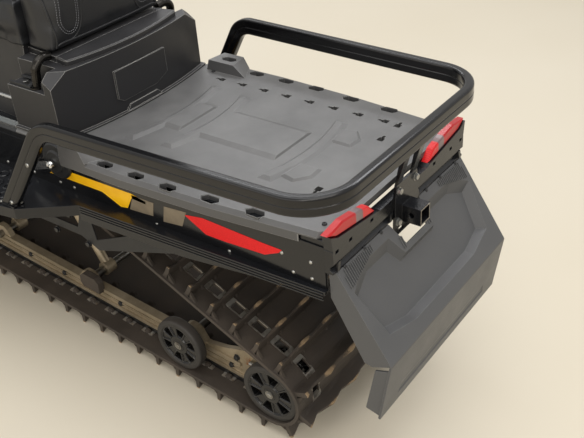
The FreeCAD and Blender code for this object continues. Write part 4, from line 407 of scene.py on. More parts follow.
# Painted shadow: near black with a faint uneven tone, laid inside each opening where only shade would be; the
# hood's dark joints use it too.
shadow_and_joint_black = mottled("shadow_and_joint_black", "#050506", "#100F0D", 7, (0.68, 0.84))
DECK_TOP = 641.05
HEX = np.array([(-0.5, 0), (-0.3, 0.5), (0.3, 0.5), (0.5, 0), (0.3, -0.5), (-0.3, -0.5)]) * [52, 25]
anchors = [(-70, 261, 653), (43, 268, 653), (154, 277, 653), (249, 277, 653), (346, 277, 653), (432, 270, 680)]
# Each anchor pocket's floor is a near-black sheet: a painted shadow at its bottom.
floors = [prism("plan", HEX * 0.985 + [x, y], 628.2, 629.2) for x, y, z in anchors]
liners = []
for x, y, z in anchors:
    outer, inner = HEX * 0.992 + [x, y], HEX * 0.93 + [x, y]
    ring = [np.concatenate([outline, np.full((6, 1), height)], 1)
            for outline, height in ((outer, z - 12), (outer, z - 1.2), (inner, z - 1.2), (inner, z - 12))]
    liners.append(skin(np.stack(ring), close_rows=True, close_columns=True))
fitted(at_tunnel, "anchor_shadow_floors", both(floors), shadow_and_joint_black)
fitted(at_tunnel, "anchor_liners", both(liners), deck_plastic)
# The keyholes, and two slots at the deck's rear end, are thin near-black sheets on its top: painted shadow
# where each opening would be.
slots = [prism("plan", [(x - 102, 196), (x - 74, 196), (x - 74, 212), (x - 102, 212)], DECK_TOP, DECK_TOP
               + 0.55) for x in np.arange(8) * 71.2]
slots += [prism("plan", [(-139, y - 9), (-121, y - 9), (-121, y + 20), (-139, y + 20)], DECK_TOP, DECK_TOP
                + 0.55) for y in (198, 123)]
fitted(at_tunnel, "slot_shadow_sheets", both(slots), shadow_and_joint_black)
screws = [(-214, 226, 653), (-214, -226, 653), (-214, 70, 653), (-214, -70, 653), (460, 232, 653),
          (460, -232, 653)]
fitted(at_tunnel, "deck_screws", fixings(SCREW, screws, (0, 0, 1), 14), cast_powder)

# ---------------------------------------------------------------- cargo rack
# Extruded aluminium rail, bent cold and coated in gloss black; each foot has a screw
# through its side and one into the board.
# Gloss black coat over the extrusion: deep black with fine lengthwise die lines.
rail_black = coated("gloss_black_rail", "#0A0A0C", "#191A1D", 5.0, 0.16, edge="#2C2D30", radius=2.0,
                    depth=0.0001, lift=0.4)
dress(rail_black, "cargo_rack")
# Black chrome on the grab handles: dark, and bright where it catches a lamp.
black_chrome = mottled("black_chrome", "#3D3B38", "#32302E", 12, (0.18, 0.32), Metallic=0.9)
dress(black_chrome, "grab_handles")
rack_screws = fixings(SCREW, [(497, 372, 655), (575, 389, 540)], (0.2, 1, 0.05), 12)
rack_screws += fixings(SCREW, [(568, 370, 532), (614, 390, 532)], (0, 0, 1), 12)
fitted(at_tunnel, "rack_screws", both(rack_screws), zinc)

# ---------------------------------------------------------------- tail bracket and lamps
# An extruded bracket between the lamps, with a welded receiver for a tow bar. Each lamp
# has a red lens over a grey reflector.
# Red lens: clear red plastic over prisms, with a grey reflector band between the two lights.
lens_red, tree, shader, place = finish("red_polycarbonate", Roughness=0.3, Coat_Weight=0.15)
sides = add(tree, "SeparateXYZ", {0: place})
reach = add(tree, "Math", {0: sides.outputs["Y"]}, operation="ABSOLUTE")
band = add(tree, "MapRange", {0: reach, 1: 0.10, 2: 0.28})
prisms = add(tree, "TexWave", {"Vector": place, "Scale": 95.0, "Distortion": 0.0}, bands_direction="Y")
tone = add(tree, "ValToRGB", {"Fac": band}, stops=[(0.0, "#EA1A1E"), (0.3, "#E5161B"), (0.32, "#6E6A6B"),
                                                   (0.44, "#7C7879"), (0.46, "#C00C14"), (1.0, "#CE0E16")])
deep = add(tree, "Mix", {0: prisms.outputs["Fac"], 6: tone, 7: "#8E0C14"}, data_type="RGBA")
mellow = add(tree, "Mix", {0: 0.6, 6: deep.outputs[2], 7: tone}, data_type="RGBA")
wire(shader, {"Base Color": mellow.outputs[2]})
dress(lens_red, "tail_lamps")
face = -262  # the bracket's rear face
dividers = [prism("cross", [(y, 578), (y + 9, 578), (y + 5, 598), (y - 4, 598)], face - 1.5, face + 12)
            for y in (54, 250)]
fitted(at_tunnel, "bracket_tabs", both(dividers), black_powder)
# Its holes are thin near-black plates: painted shadow in each opening.
holes = [prism("cross", [(y - 5.6, 620.4), (y + 5.6, 620.4), (y + 5.6, 627.6), (y - 5.6, 627.6)], face + 9.5,
               face + 11) for y in (256, 208, 130, 58)]
fitted(at_tunnel, "bracket_hole_shadows", both(holes), shadow_and_joint_black)
bore, inner, outer = 581, 16.7, 19.4  # the receiver's centre height, and its mouth's half widths
mouth = []
for a, b, c, d in ((-outer, -outer, outer, -inner), (-outer, inner, outer, outer),
                   (-outer, -inner, -inner, inner), (inner, -inner, outer, inner)):
    mouth.append(prism("cross", [(a, bore + b), (c, bore + b), (c, bore + d), (a, bore + d)], -312.5, -311.4))
# The receiver's mouth is rubbed to bare steel by tow bars.
rubbed_steel = mottled("rubbed_bare_steel", "#9A9791", "#7D756B", 7, (0.3, 0.52), Metallic=1.0)
fitted(at_tunnel, "receiver_rim", mouth, rubbed_steel)
plate_bolts = fixings(BOLT, [(-268, y, z) for y, z in ((-38, 569), (38, 569), (-34, 643), (34, 643))],
                      (-1, 0, 0))
fitted(at_tunnel, "hitch_bolts", plate_bolts, zinc)

# ---------------------------------------------------------------- snow flap
# One moulded sheet of flexible plastic, riveted on along its top; fine ribs stiffen the
# strips beside its field.
flap_plastic = coated("flap_plastic", "#4C4D4F", "#646465", 0.9, 0.42, edge="#919190", radius=1.5, lift=0.6)
dress(flap_plastic, "snow_flap")
knee, head = np.array([-380.0, 0, 387]), np.array([-256.0, 0, 575])
climb = (head - knee) / np.linalg.norm(head - knee)
outward = np.array([-climb[2], 0, climb[0]])


def on_flap(points, rise):
    """Places (across, up the panel) on the flap's sloping face, lifted off it."""
    points = np.asarray(points, float)
    return knee + points[:, 1:] * climb + points[:, :1] * [0, 1, 0] + outward * (5 + rise)


# Ribs as (across, lower end, upper end): seventeen beside the field and two by the middle.
SPACING = 6.4
strips = [(246 - k * SPACING, 176 + max(0, k - 1) * 1.9, 219 if k else 206) for k in range(17)]
strips += [(across, 158 + max(0, 57 - across) * 0.1, 183 + (across - 23) * 0.1)
           for across in np.arange(57, 50, -SPACING)]
ribs = []
for across, low, high in strips:
    base = on_flap([(across - 1.5, low), (across + 1.5, low), (across + 1.5, high), (across - 1.5, high)], -1.0)
    crest = on_flap([(across - 0.7, low + 1), (across + 0.7, low + 1), (across + 0.7, high - 1),
                     (across - 0.7, high - 1)], 2.6)
    ribs.append(slab(base, crest))
fitted(at_tunnel, "flap_ribs", both(ribs), flap_plastic)
pins = [on_flap([(y, 221)], 0)[0] for y in (232, 160, 96)]
fitted(at_tunnel, "flap_rivets", both([turned(RIVET, p, outward, 12) for p in pins]), cast_powder, smooth=True)

# ---------------------------------------------------------------- storage box
# Blow-moulded box and lid in a darker mix with a finer grain; a soft seal runs under the
# lid, and a rubber latch holds it on each side.
# Painted highlight: the near-white edge colour lights the edges of the box, lid, seat base and console, with
# some rubbing.
box_plastic = coated("fine_grain_plastic", "#232325", "#444446", 0.8, 0.4, edge="#B5B4B0", radius=2.2, wear=0.9,
                     lift=0.8, depth=0.00025)
dress(box_plastic, "storage_box", "storage_lid", "seat_base", "console")
latch = []
for z in (792, 802):
    latch.append(prism("side", [(548, z - 3), (566, z - 3), (566, z + 3), (548, z + 3)], 204, 214))
latch.append(prism("side", [(545, 770), (572, 770), (568, 786), (548, 786)], 208, 236))
latch.append(prism("plan", [(600, 206), (672, 206), (672, 214), (600, 214)], 772, 775))
latch.append(prism("plan", [(600, 240), (676, 240), (676, 246), (600, 246)], 766.4, 774))
latch.append(turned([(0.5, -14), (4.5, -14), (4.5, 14), (0.5, 14)], (560, 222, 778), (1, 0, 0), 10))
fitted(at_tunnel, "side_hardware", both(latch), cast_powder)
ledge_bolts = fixings(BOLT, [(552, 228, 766), (586, 214, 766), (640, 226, 766)], (0, 0, 1))
fitted(at_tunnel, "ledge_bolts", both(ledge_bolts), zinc)
# Silver step bars along the seat's foot, one below the other.
bars = [turned([(0.5, 0), (6, 0), (6, 96), (0.5, 96)], (676, 216, 704), (1, 0, 0), 16),
        prism("cross", [(238, 655), (252, 650), (252, 630), (238, 634)], 686, 800)]
fitted(at_tunnel, "seat_side_bars", both(bars), chrome)

# ---------------------------------------------------------------- track
# A moulded rubber belt with steel clips at the edges of its windows. Its paddles are
# notched into knobs and carry dried mud on their tips.
LUGS, THICK, EDGE = 54, 9.0, 255
WINDOW = (168.5, 195.5)
# What the belt wraps, as centre and radius: rear wheel, rails' bend, drive axle, upper wheel.
BEND = (1125, 347, 300)
CIRCLES = np.array([(-35, 127, 80), BEND, (1520, 345, 88), (690, 410, 65)], float)
heading = np.linspace(0, 2 * math.pi, 2880, endpoint=False)
normals = np.stack([np.cos(heading), np.sin(heading)], -1)
reach = normals @ CIRCLES[:, :2].T + CIRCLES[:, 2]
# The rails' bend, the second circle, bears on the belt only from above.
reach[normals[:, 1] > 0, 1] = -1e9
held = CIRCLES[np.argmax(reach, 1)]
belt_path = held[:, :2] + held[:, 2:] * normals
outer_path = held[:, :2] + (held[:, 2:] + THICK) * normals
steps = np.linalg.norm(np.roll(outer_path, -1, 0) - outer_path, axis=1)
belt_run = np.concatenate([[0], np.cumsum(steps)])
pitch = belt_run[-1] / LUGS


def on_belt(points):
    """Places given as (run round the belt, across, height above its inner face).

    The loop's point at a run is found by straight interpolation between tangent points of the
    circles it wraps, and the height goes along the interpolated outward normal.
    """
    run, across, rise = np.moveaxis(np.asarray(points, float), -1, 0)
    run = np.mod(run, belt_run[-1])
    closed = [np.concatenate([side, side[:1]]) for side in (*belt_path.T, *normals.T)]
    x, z, nx, nz = (np.interp(run, belt_run, side) for side in closed)
    size = np.hypot(nx, nz)
    return np.stack([x + nx / size * rise, across, z + nz / size * rise], -1)


def round_belt(shapes, material, name):
    """One pitch of shapes in (run, across, height), repeated round the whole loop."""
    points, faces = joined(shapes)
    count = len(points)
    shift = np.zeros((LUGS, 1, 3))
    shift[:, 0, 0] = np.arange(LUGS) * pitch
    every = (points[None] + shift).reshape(-1, 3)
    links = [[i + k * count for i in face] for k in range(LUGS) for face in faces]
    return piece(name, at_level(on_belt(every)), links, material)


# Within one pitch the paddle's foot is at a quarter and the window's middle at three quarters.
foot_line = pitch * 0.25
stations = np.array([0, 0.12, 0.25, 0.38, 0.5, 0.62, 0.75, 0.88, 1.0]) * pitch
gap_line = pitch * 0.75
window = (gap_line - 18, gap_line + 18)
stations = np.unique(np.concatenate([stations[np.abs(stations - gap_line) > 19], window, [gap_line]]).round(3))
solid_bars = [(-EDGE, -WINDOW[1]), (-WINDOW[0], WINDOW[0]), (WINDOW[1], EDGE)]
window_bars = [(-WINDOW[1], -WINDOW[0]), WINDOW]
belt_parts = []
for a, b in zip(stations[:-1], stations[1:]):
    hole = window[0] - 0.1 < a and b < window[1] + 0.1
    for low, high in solid_bars if hole else sorted(solid_bars + window_bars):
        corner = [(a, low), (b, low), (b, high), (a, high)]
        top, base = ([(*c, rise) for c in corner] for rise in (THICK, 0.0))
        faces = [[0, 1, 2, 3], [7, 6, 5, 4]]
        if hole or low == -EDGE:
            faces.append([0, 4, 5, 1])
        if hole or high == EDGE:
            faces.append([3, 2, 6, 7])
        belt_parts.append((top + base, faces))
for low, high in window_bars:
    for run in window:
        belt_parts.append(([(run, low, THICK), (run, high, THICK), (run, high, 0), (run, low, 0)],
                           [[0, 1, 2, 3]]))


def paddle():
    """A bar across the belt: its tip's height and thickness change along it, between knobs and notches."""
    knobs = np.array([-249, -214, -207, -160, -153, -118, -111, -66, -59, -24, -17, 17, 24, 59, 66, 111, 118,
                      153, 160, 207, 214, 249.0])
    tall = np.full(22, 38.0)
    tall[[1, 2, 19, 20]] = 26
    tall[[5, 6, 9, 10, 11, 12, 15, 16]] = 30
    thick = np.where(tall > 30, 4.5, 3.4)
    rows = np.stack([np.stack([foot_line + s * a, knobs, THICK + h], -1)
                     for s, a, h in ((-1, np.full(22, 9.0), np.full(22, -1.5)), (-1, thick + 1.6, tall * 0.35),
                                     (-1, thick, tall - 1.5), (-1, thick * 0.6, tall), (1, thick * 0.6, tall),
                                     (1, thick, tall - 1.5), (1, thick + 1.6, tall * 0.35),
                                     (1, np.full(22, 9.0), np.full(22, -1.5)))], 1)
    return skin(rows, close_columns=True)


belt_parts.append(paddle())
for side in (-1, 1):
    for across, long, high in ((249, 30, 17), (206, 15, 10), (158, 15, 10), (62, 14, 10)):
        edge, inner = side * across, side * (across - 7)
        wedge = [(foot_line + 4, edge, 8), (foot_line + long, edge, 8), (foot_line + 5, edge, THICK + high)]
        belt_parts.append((wedge + [(s, inner, h) for s, _, h in wedge],
                           [[0, 1, 2], [5, 4, 3], [0, 3, 4, 1], [1, 4, 5, 2], [2, 5, 3, 0]]))
    # Inner drive lugs stand beside the rails' line.
    for across in (118, 205):
        low = [(foot_line + s, side * across + y, 0.5) for s, y in ((-11, -6), (11, -6), (11, 6), (-11, 6))]
        high = [(foot_line + s, side * across + y, -10.0)
                for s, y in ((-6, -3.5), (6, -3.5), (6, 3.5), (-6, 3.5))]
        belt_parts.append(slab(low, high))

# Carcass rubber: brown-black and matt, with fine moulded lines and tan mud dried on the tips.
rubber, tree, shader, place = finish("mud_dried_track_rubber")
rise = add(tree, "Attribute", attribute_name="rise")
clump = add(tree, "TexNoise", {"Vector": place, "Scale": 55.0, "Detail": 5.0, "Roughness": 0.7})
film = add(tree, "TexNoise", {"Vector": place, "Scale": 7.0, "Detail": 4.0, "Roughness": 0.6})
raised = add(tree, "MapRange", {0: rise.outputs["Fac"], 1: 0.78, 2: 0.98, 3: 0.0, 4: 1.1})
caked = add(tree, "Math", {0: raised, 1: clump}, operation="MULTIPLY")
mud = add(tree, "MapRange", {0: caked, 1: 0.34, 2: 0.5})
dusty = add(tree, "MapRange", {0: film, 1: 0.3, 2: 0.75, 3: 0.05, 4: 0.6})
tone = add(tree, "Mix", {0: dusty, 6: "#302B27", 7: "#5C5146"}, data_type="RGBA")
caked_tone = add(tree, "Mix", {0: mud, 6: tone.outputs[2], 7: "#957F63"}, data_type="RGBA")
rough = add(tree, "MapRange", {0: film, 1: 0.3, 2: 0.7, 3: 0.55, 4: 0.85})
normal, mask = soft_edges(tree, 2.0)
lumps = add(tree, "Bump", {"Height": clump, "Normal": normal, "Distance": 0.0012, "Strength": 0.6})
wire(shader, {"Base Color": caked_tone.outputs[2], "Roughness": rough, "Normal": lumps})


def corners_of(mesh):
    """The places of a mesh's vertices, one row each."""
    spots = np.empty(len(mesh.vertices) * 3)
    mesh.vertices.foreach_get("co", spots)
    return spots.reshape(-1, 3)


track = round_belt(belt_parts, rubber, "rubber_track")
# Each corner's height above the belt's path marks where mud is caked.
spots = corners_of(track.data)[:, [0, 2]] * 1000 - [datum, 0]
heights = np.max(spots @ normals[::4].T - reach.max(1)[::4], axis=1)
mark = track.data.attributes.new("rise", "FLOAT", "POINT")
mark.data.foreach_set("value", np.clip(heights / (THICK + 38), 0, 1))
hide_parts("track")

# Steel clips fold over the belt at the windows' front and rear edges.
clips, middle = [], sum(WINDOW) / 2
for side in (-1, 1):
    for run, turn in ((window[0], -1), (window[1], 1)):
        a, b = sorted((run - turn * 2.0, run + turn * 11.0))
        low, high = side * middle - 15.5, side * middle + 15.5
        ring = [(a, low), (b, low), (b, high), (a, high)]
        clips.append(prism("plan", ring, -1.4, 10.6))
        tab = [(a, side * 199), (b, side * 199), (b, side * 212), (a, side * 212)]
        clips.append(prism("plan", tab, -2.6, 0.4))
    for edge in (-14.4, 14.4):
        low, high = side * middle + edge - 1.6, side * middle + edge + 1.6
        ring = [(window[0] - 2, low), (window[1] + 2, low), (window[1] + 2, high), (window[0] - 2, high)]
        clips.append(prism("plan", ring, 8.0, 10.4))
# Spring steel, dull with wear and a little mud.
spring_steel = mottled("worn_spring_steel", "#C6C2BA", "#7C7166", 25, None, (0.42, 0.68), 4.0, 0.5,
                       Metallic=0.75, Roughness=0.3)
round_belt(clips, spring_steel, "window_clips")

# ---------------------------------------------------------------- slide rails
# Extruded aluminium, anodised bronze, with black bolts; a rubber stop and bare steel link
# sit on each rail.
# Bronze anodising: satin, with fine lines along the extrusion and a haze of dust.
bronze, tree, shader, place = finish("bronze_anodised_extrusion", Metallic=0.55, Roughness=0.38)
stretch = add(tree, "Mapping", {"Vector": place, "Scale": (6.0, 6.0, 700.0)})
lines = add(tree, "TexNoise", {"Vector": stretch, "Scale": 1.0, "Detail": 3.0})
haze = add(tree, "TexNoise", {"Vector": place, "Scale": 12.0, "Detail": 5.0, "Roughness": 0.7})
tone = add(tree, "ValToRGB", {"Fac": haze}, stops=[(0.3, "#B8AA92"), (0.55, "#A3957D"), (0.78, "#877A66")])
where = add(tree, "SeparateXYZ", {0: place})
near_tail = add(tree, "MapRange", {0: where.outputs["X"], 1: -1.12, 2: -1.24, 3: 0.0, 4: 1.0})
bloom = add(tree, "TexNoise", {"Vector": place, "Scale": 34.0, "Detail": 5.0, "Roughness": 0.7})
spread = add(tree, "Math", {0: bloom, 1: near_tail}, operation="MULTIPLY")
rusty = add(tree, "MapRange", {0: spread, 1: 0.5, 2: 0.62})
stained = add(tree, "Mix", {0: rusty, 6: tone, 7: "#8E5526"}, data_type="RGBA")
normal, mask = soft_edges(tree, 1.2)
brush = add(tree, "Bump", {"Height": lines, "Normal": normal, "Distance": 0.00003, "Strength": 0.4})
wire(shader, {"Base Color": stained.outputs[2], "Normal": brush})
dress(bronze, "suspension_arms")


def along_rail(low, high, start, near, far, turn=36):
    """A band between two heights above the belt, carried straight forward and then up the rails' bend.

    On the bend a point lies at (radius - height) from the bend's centre.
    """
    sweep = np.radians(np.linspace(0, turn, 13))
    x, z, radius = BEND
    ring = [np.stack([x + np.sin(sweep) * (radius - h), z - np.cos(sweep) * (radius - h)], -1)
            for h in (low, high)]
    outline = np.concatenate([[(start, z - radius + low)], *ring[:1], ring[1][::-1],
                              [(start, z - radius + high)]])
    return prism("side", outline, near, far)


webs = [along_rail(13, 60, -40, 179.5, 190.5), along_rail(50, 61, 96, 173, 197.5, 31),
        along_rail(13, 24, -40, 174, 197), along_rail(36, 40, 96, 189, 194.2)]
webs.append(prism("side", [(-69, 60), (-69, 140), (-52, 163), (62, 163), (150, 128), (236, 106), (236, 60)],
                  178.5, 191.5))
for x, z in ((254, 121), (640, 109), (1010, 109)):
    webs.append(prism("side", [(x - 46, z - 14), (x - 22, z + 20), (x - 10, z + 27), (x + 10, z + 27),
                               (x + 22, z + 20), (x + 46, z - 14)], 176.5, 193.5))
rails = fitted(at_level, "anodised_rails", both(webs), bronze)
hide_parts("slide_rails")
# The slider under each rail is black ultra-high-density plastic, worn shiny where it runs.
slider_plastic = coated("slider_plastic", "#131314", "#2B2724", 3.0, 0.34, edge="#3A3733")
fitted(at_level, "rail_sliders", both([along_rail(1, 14, -35, 171, 199)]), slider_plastic)
heads = [(x, 190.5, 83) for x in (128, 330, 520, 745, 890, 1080)]
heads += [(x, 191.5, z) for x, z in ((40, 92), (110, 118), (-48, 84))]
fitted(at_level, "rail_bolts", both(fixings(BOLT, heads, (0, 1, 0))), cast_powder)
stop = [(578, 100), (640, 100), (650, 112), (650, 134), (638, 146), (592, 146), (578, 134)]
fitted(at_level, "rubber_stops", both([prism("side", stop, 194, 214)]), rubber)
# Bare steel: grey and part polished, with brown where it has begun to rust.
steel, tree, shader, place = finish("bare_steel", Metallic=1.0)
grime = add(tree, "TexNoise", {"Vector": place, "Scale": 28.0, "Detail": 5.0, "Roughness": 0.65})
tone = add(tree, "ValToRGB", {"Fac": grime}, stops=[(0.35, "#A6A5A1"), (0.6, "#85827C"), (0.75, "#8A6A4C")])
worn = add(tree, "MapRange", {0: grime, 1: 0.3, 2: 0.7, 3: 0.25, 4: 0.5})
wire(shader, {"Base Color": tone, "Roughness": worn})
dress(steel, "cross_shafts", "drive_axle")
# Adjusters pull the rear axle back to tension the belt: a block, a bolt and a lock nut.
blocks = [prism("side", [(-58, 104), (-8, 104), (-8, 116), (18, 116), (18, 142), (-8, 142), (-14, 150),
                         (-58, 150)], 192, 203)]
blocks += fixings(BOLT, [(-35, 203, 127)], (0, 1, 0))
blocks += [turned([(0.5, 0), (6.5, 0), (6.5, 46), (0.5, 46)], (18, 198, 130), (1, 0, 0), 12),
           turned([(0.5, 0), (10, 0), (10, 8), (0.5, 8)], (34, 198, 130), (1, 0, 0), 6)]
fitted(at_level, "axle_adjusters", both(blocks), steel)

# ---------------------------------------------------------------- wheels
# Moulded nylon wheels with six paired ribs, press-fitted rubber tyres and a sealed bearing
# held by a spring ring.
# Glass-filled nylon: black with a soft gloss, its edges and corners lightened, part dust and part painted
# highlight.
wheel_nylon = coated("glass_filled_nylon", "#111112", "#2C2A28", 2.0, 0.2, edge="#6A6966", lift=0.3, radius=1.0)
# Tyre rubber: worn grey-brown on its tread.
tyre_rubber = coated("tyre_rubber", "#2A2826", "#554D45", 2.6, 0.55, edge="#5A534C", radius=2.0, depth=0.0004)
WHEELS = [(-35, 127, 80, 236.5), (-35, 127, 80, 136), (254, 121, 74, 236.5), (690, 410, 65, 150)]


def hoop(section, x, across, z):
    """A closed section of (radius, offset) pairs turned about an axle: x + radius cos a, z + radius sin a."""
    angle = np.arange(40) * math.pi / 20
    radius, offset = np.array(section)[:, :, None].swapaxes(0, 1)
    ring = np.stack([x + radius * np.cos(angle), across + offset + 0 * angle, z + radius * np.sin(angle)], -1)
    return skin(ring, close_rows=True, close_columns=True)


tyres, discs, hubs = [], [], []
# A rib's section, as its width and its depth along the axle.
BAR = np.array([(-2.6, -9), (2.6, -9), (2.6, 9.5), (1.4, 11.5), (-1.4, 11.5), (-2.6, 9.5)])
for x, z, radius, across in WHEELS:
    rim = radius - 15
    tyre = [(rim - 1, -13), (rim + 2, -13.5), (radius - 4, -13.5), (radius - 1, -11.5), (radius - 0.2, -7),
            (radius, 0), (radius - 0.2, 7), (radius - 1, 11.5), (radius - 4, 13.5), (rim + 2, 13.5),
            (rim - 1, 13)]
    tyres.append(hoop(tyre, x, across, z))
    band = [(rim, -12), (rim, 12), (rim - 2.5, 12.6), (rim - 5, 10), (rim - 6, 4), (rim - 6, -4),
            (rim - 5, -10), (rim - 2.5, -12.6)]
    discs.append(hoop(band, x, across, z))
    discs.append(turned([(10.5, -12), (26, -12), (29, -8), (30, 0), (29, 8), (26, 12), (17, 12.6), (16, 9),
                         (10.5, 9)], (x, across, z), (0, 1, 0), 28))
    for k in range(6):
        turn = math.radians(60 * k + 8)
        ahead, beside = np.array([math.cos(turn), math.sin(turn)]), np.array([-math.sin(turn), math.cos(turn)])
        for side in (-1, 1):
            out, off = np.array([(27, 7.0), (38, 8.6), (rim - 10, 11.4), (rim - 4, 14.5)]).T[:, :, None]
            shift = side * off + BAR[:, 0]
            spoke = [x + (ahead[0] * out + beside[0] * shift), np.broadcast_to(across + BAR[:, 1], shift.shape),
                     z + (ahead[1] * out + beside[1] * shift)]
            discs.append(skin(np.stack(spoke, -1), close_columns=True))
        web = [ahead * out + beside * s * off
               for out, off, s in ((27, 7, -1), (rim - 5, 13.5, -1), (rim - 5, 13.5, 1), (27, 7, 1))]
        web = [(x + p[0], z + p[1]) for p in web]
        discs.append(prism("side", web, across - 4, across + 8.5))
    discs.append(turned([(0.5, 9), (16, 9), (16, 12.4), (12, 13.4), (0.5, 13.4)], (x, across, z), (0, 1, 0),
                        24))
    hubs.append(turned([(0.5, 13.4), (7.5, 13.4), (7.5, 17.4), (6.5, 18.2), (0.5, 18.2)], (x, across, z),
                       (0, 1, 0), 6))
hub_side = [turned([(0.5, -9), (15.5, -9), (15.5, -10), (0.5, -10)], (x, across, z), (0, 1, 0), 24)
            for x, z, _, across in WHEELS]
fitted(at_level, "wheel_tyres", both(tyres), tyre_rubber, smooth=True)
wheels = fitted(at_level, "wheel_discs", both(discs), wheel_nylon)
fitted(at_level, "wheel_hubs", both(hubs + hub_side), steel)
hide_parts("idler_wheels")

# ---------------------------------------------------------------- shocks
# Coil springs round gas shocks with bright steel shafts, two between the rails and one
# above each ski. Each spring is wound from round wire and its end turns lie flat.
dress(steel, "front_shocks", "rear_shocks", "left_tie_rod", "right_tie_rod")


def tube(path, radius, about, sides=12, closed=False):
    """A round tube along a path.

    Each ring is radius * (cos a * u + sin a * w), with u the cross product of the path's
    heading and about, and w square to both.
    """
    path = np.asarray(path, float)
    if closed:
        ahead = np.roll(path, -1, 0) - np.roll(path, 1, 0)
    else:
        ahead = np.gradient(path, axis=0)
    ahead = ahead / np.linalg.norm(ahead, axis=1)[:, None]
    u = np.cross(ahead, about)
    u = u / np.linalg.norm(u, axis=1)[:, None]
    w = np.cross(ahead, u)
    angle = np.arange(sides) * 2 * math.pi / sides
    radius = np.broadcast_to(radius, len(path))[:, None, None]
    rows = path[:, None] + radius * (np.cos(angle)[None, :, None] * u[:, None]
                                     + np.sin(angle)[None, :, None] * w[:, None])
    return skin(rows, close_rows=closed, close_columns=True)


def coil(low, high, radius, thick, turns):
    """A helical spring: a circle swept up a line, flat for its first and last half turn."""
    low, high = np.array(low, float), np.array(high, float)
    axis = (high - low) / np.linalg.norm(high - low)
    u = np.cross(axis, (0.2, 1, 0.1))
    u /= np.linalg.norm(u)
    v = np.cross(axis, u)
    t = np.linspace(0, 1, int(turns * 20) + 1)
    climb = np.clip((t - 0.5 / turns) / (1 - 1 / turns), 0, 1)[:, None]
    angle = (t * turns * 2 * math.pi)[:, None]
    path = low + (high - low) * climb + radius * (np.cos(angle) * u + np.sin(angle) * v)
    return tube(path, thick, axis, 8)


coils = []
for across, station in ((-48, 800), (48, 1230)):
    top = at_tunnel((station, across, 474)) * 1000 - [datum, 0, 0]
    foot = np.array([1010.0, across, 109.0])
    coils.append(coil(foot + (top - foot) * 0.185, foot + (top - foot) * 0.825, 31, 4.5, 8))
foot, top = np.array([2322.3, 330, 274.0]), np.array([2305.0, 176, 606.0])
for side in (1, -1):
    low, high = (foot + (top - foot) * part for part in (0.185, 0.825))
    coils.append(coil(low * [1, side, 1], high * [1, side, 1], 28, 4.5, 8))
# Spring wire is enamelled a deep satin black.
spring_enamel = mottled("satin_spring_enamel", "#0E0E10", "#2A2724", 1000 / 30, None, (0.4, 0.7), 4.0, 0.5,
                        Roughness=0.3, Coat_Weight=0.3)
fitted(at_level, "coil_springs", coils, spring_enamel, smooth=True)

# ---------------------------------------------------------------- seats and backrest
# Marine vinyl over foam: blown full between its seams, with piping round its edges and
# stitched panels on its faces.
# Marine vinyl: fine leather-like grain about a millimetre across, low sheen, dust in folds.
vinyl, tree, shader, place = finish("grained_marine_vinyl", Roughness=0.5)
cells = add(tree, "TexVoronoi", {"Vector": place, "Scale": 620.0}, feature="SMOOTH_F1")
cloud = add(tree, "TexNoise", {"Vector": place, "Scale": 8.0, "Detail": 5.0, "Roughness": 0.6})
tone = add(tree, "ValToRGB", {"Fac": cloud}, stops=[(0.3, "#17181A"), (0.62, "#212225"), (0.8, "#2F3033")])
gloss = add(tree, "MapRange", {0: cloud, 1: 0.3, 2: 0.7, 3: 0.36, 4: 0.56})
creases = add(tree, "TexNoise", {"Vector": place, "Scale": 22.0, "Detail": 3.0, "Distortion": 0.8})
folds = add(tree, "Bump", {"Height": creases, "Distance": 0.0022, "Strength": 0.35})
grain = add(tree, "Bump",
            {"Height": cells.outputs["Distance"], "Normal": folds, "Distance": 0.0003, "Strength": 0.5})
wire(shader, {"Base Color": tone, "Roughness": gloss, "Normal": grain})
# Bonded nylon thread, a grey that stands out a little from the vinyl.
thread, tree, shader, place = finish("bonded_nylon_thread", Roughness=0.55)
twist = add(tree, "TexWave", {"Vector": place, "Scale": 260.0, "Distortion": 2.0})
wire(shader, {"Base Color": add(tree, "ValToRGB", {"Fac": twist.outputs["Fac"]},
                                stops=[(0.2, "#55565A"), (0.8, "#77787C")])})

# The foam's mesh spacing and how far it is drawn in before it is blown, in metres.
VOXEL, DRAWN_IN = 0.006, 0.003


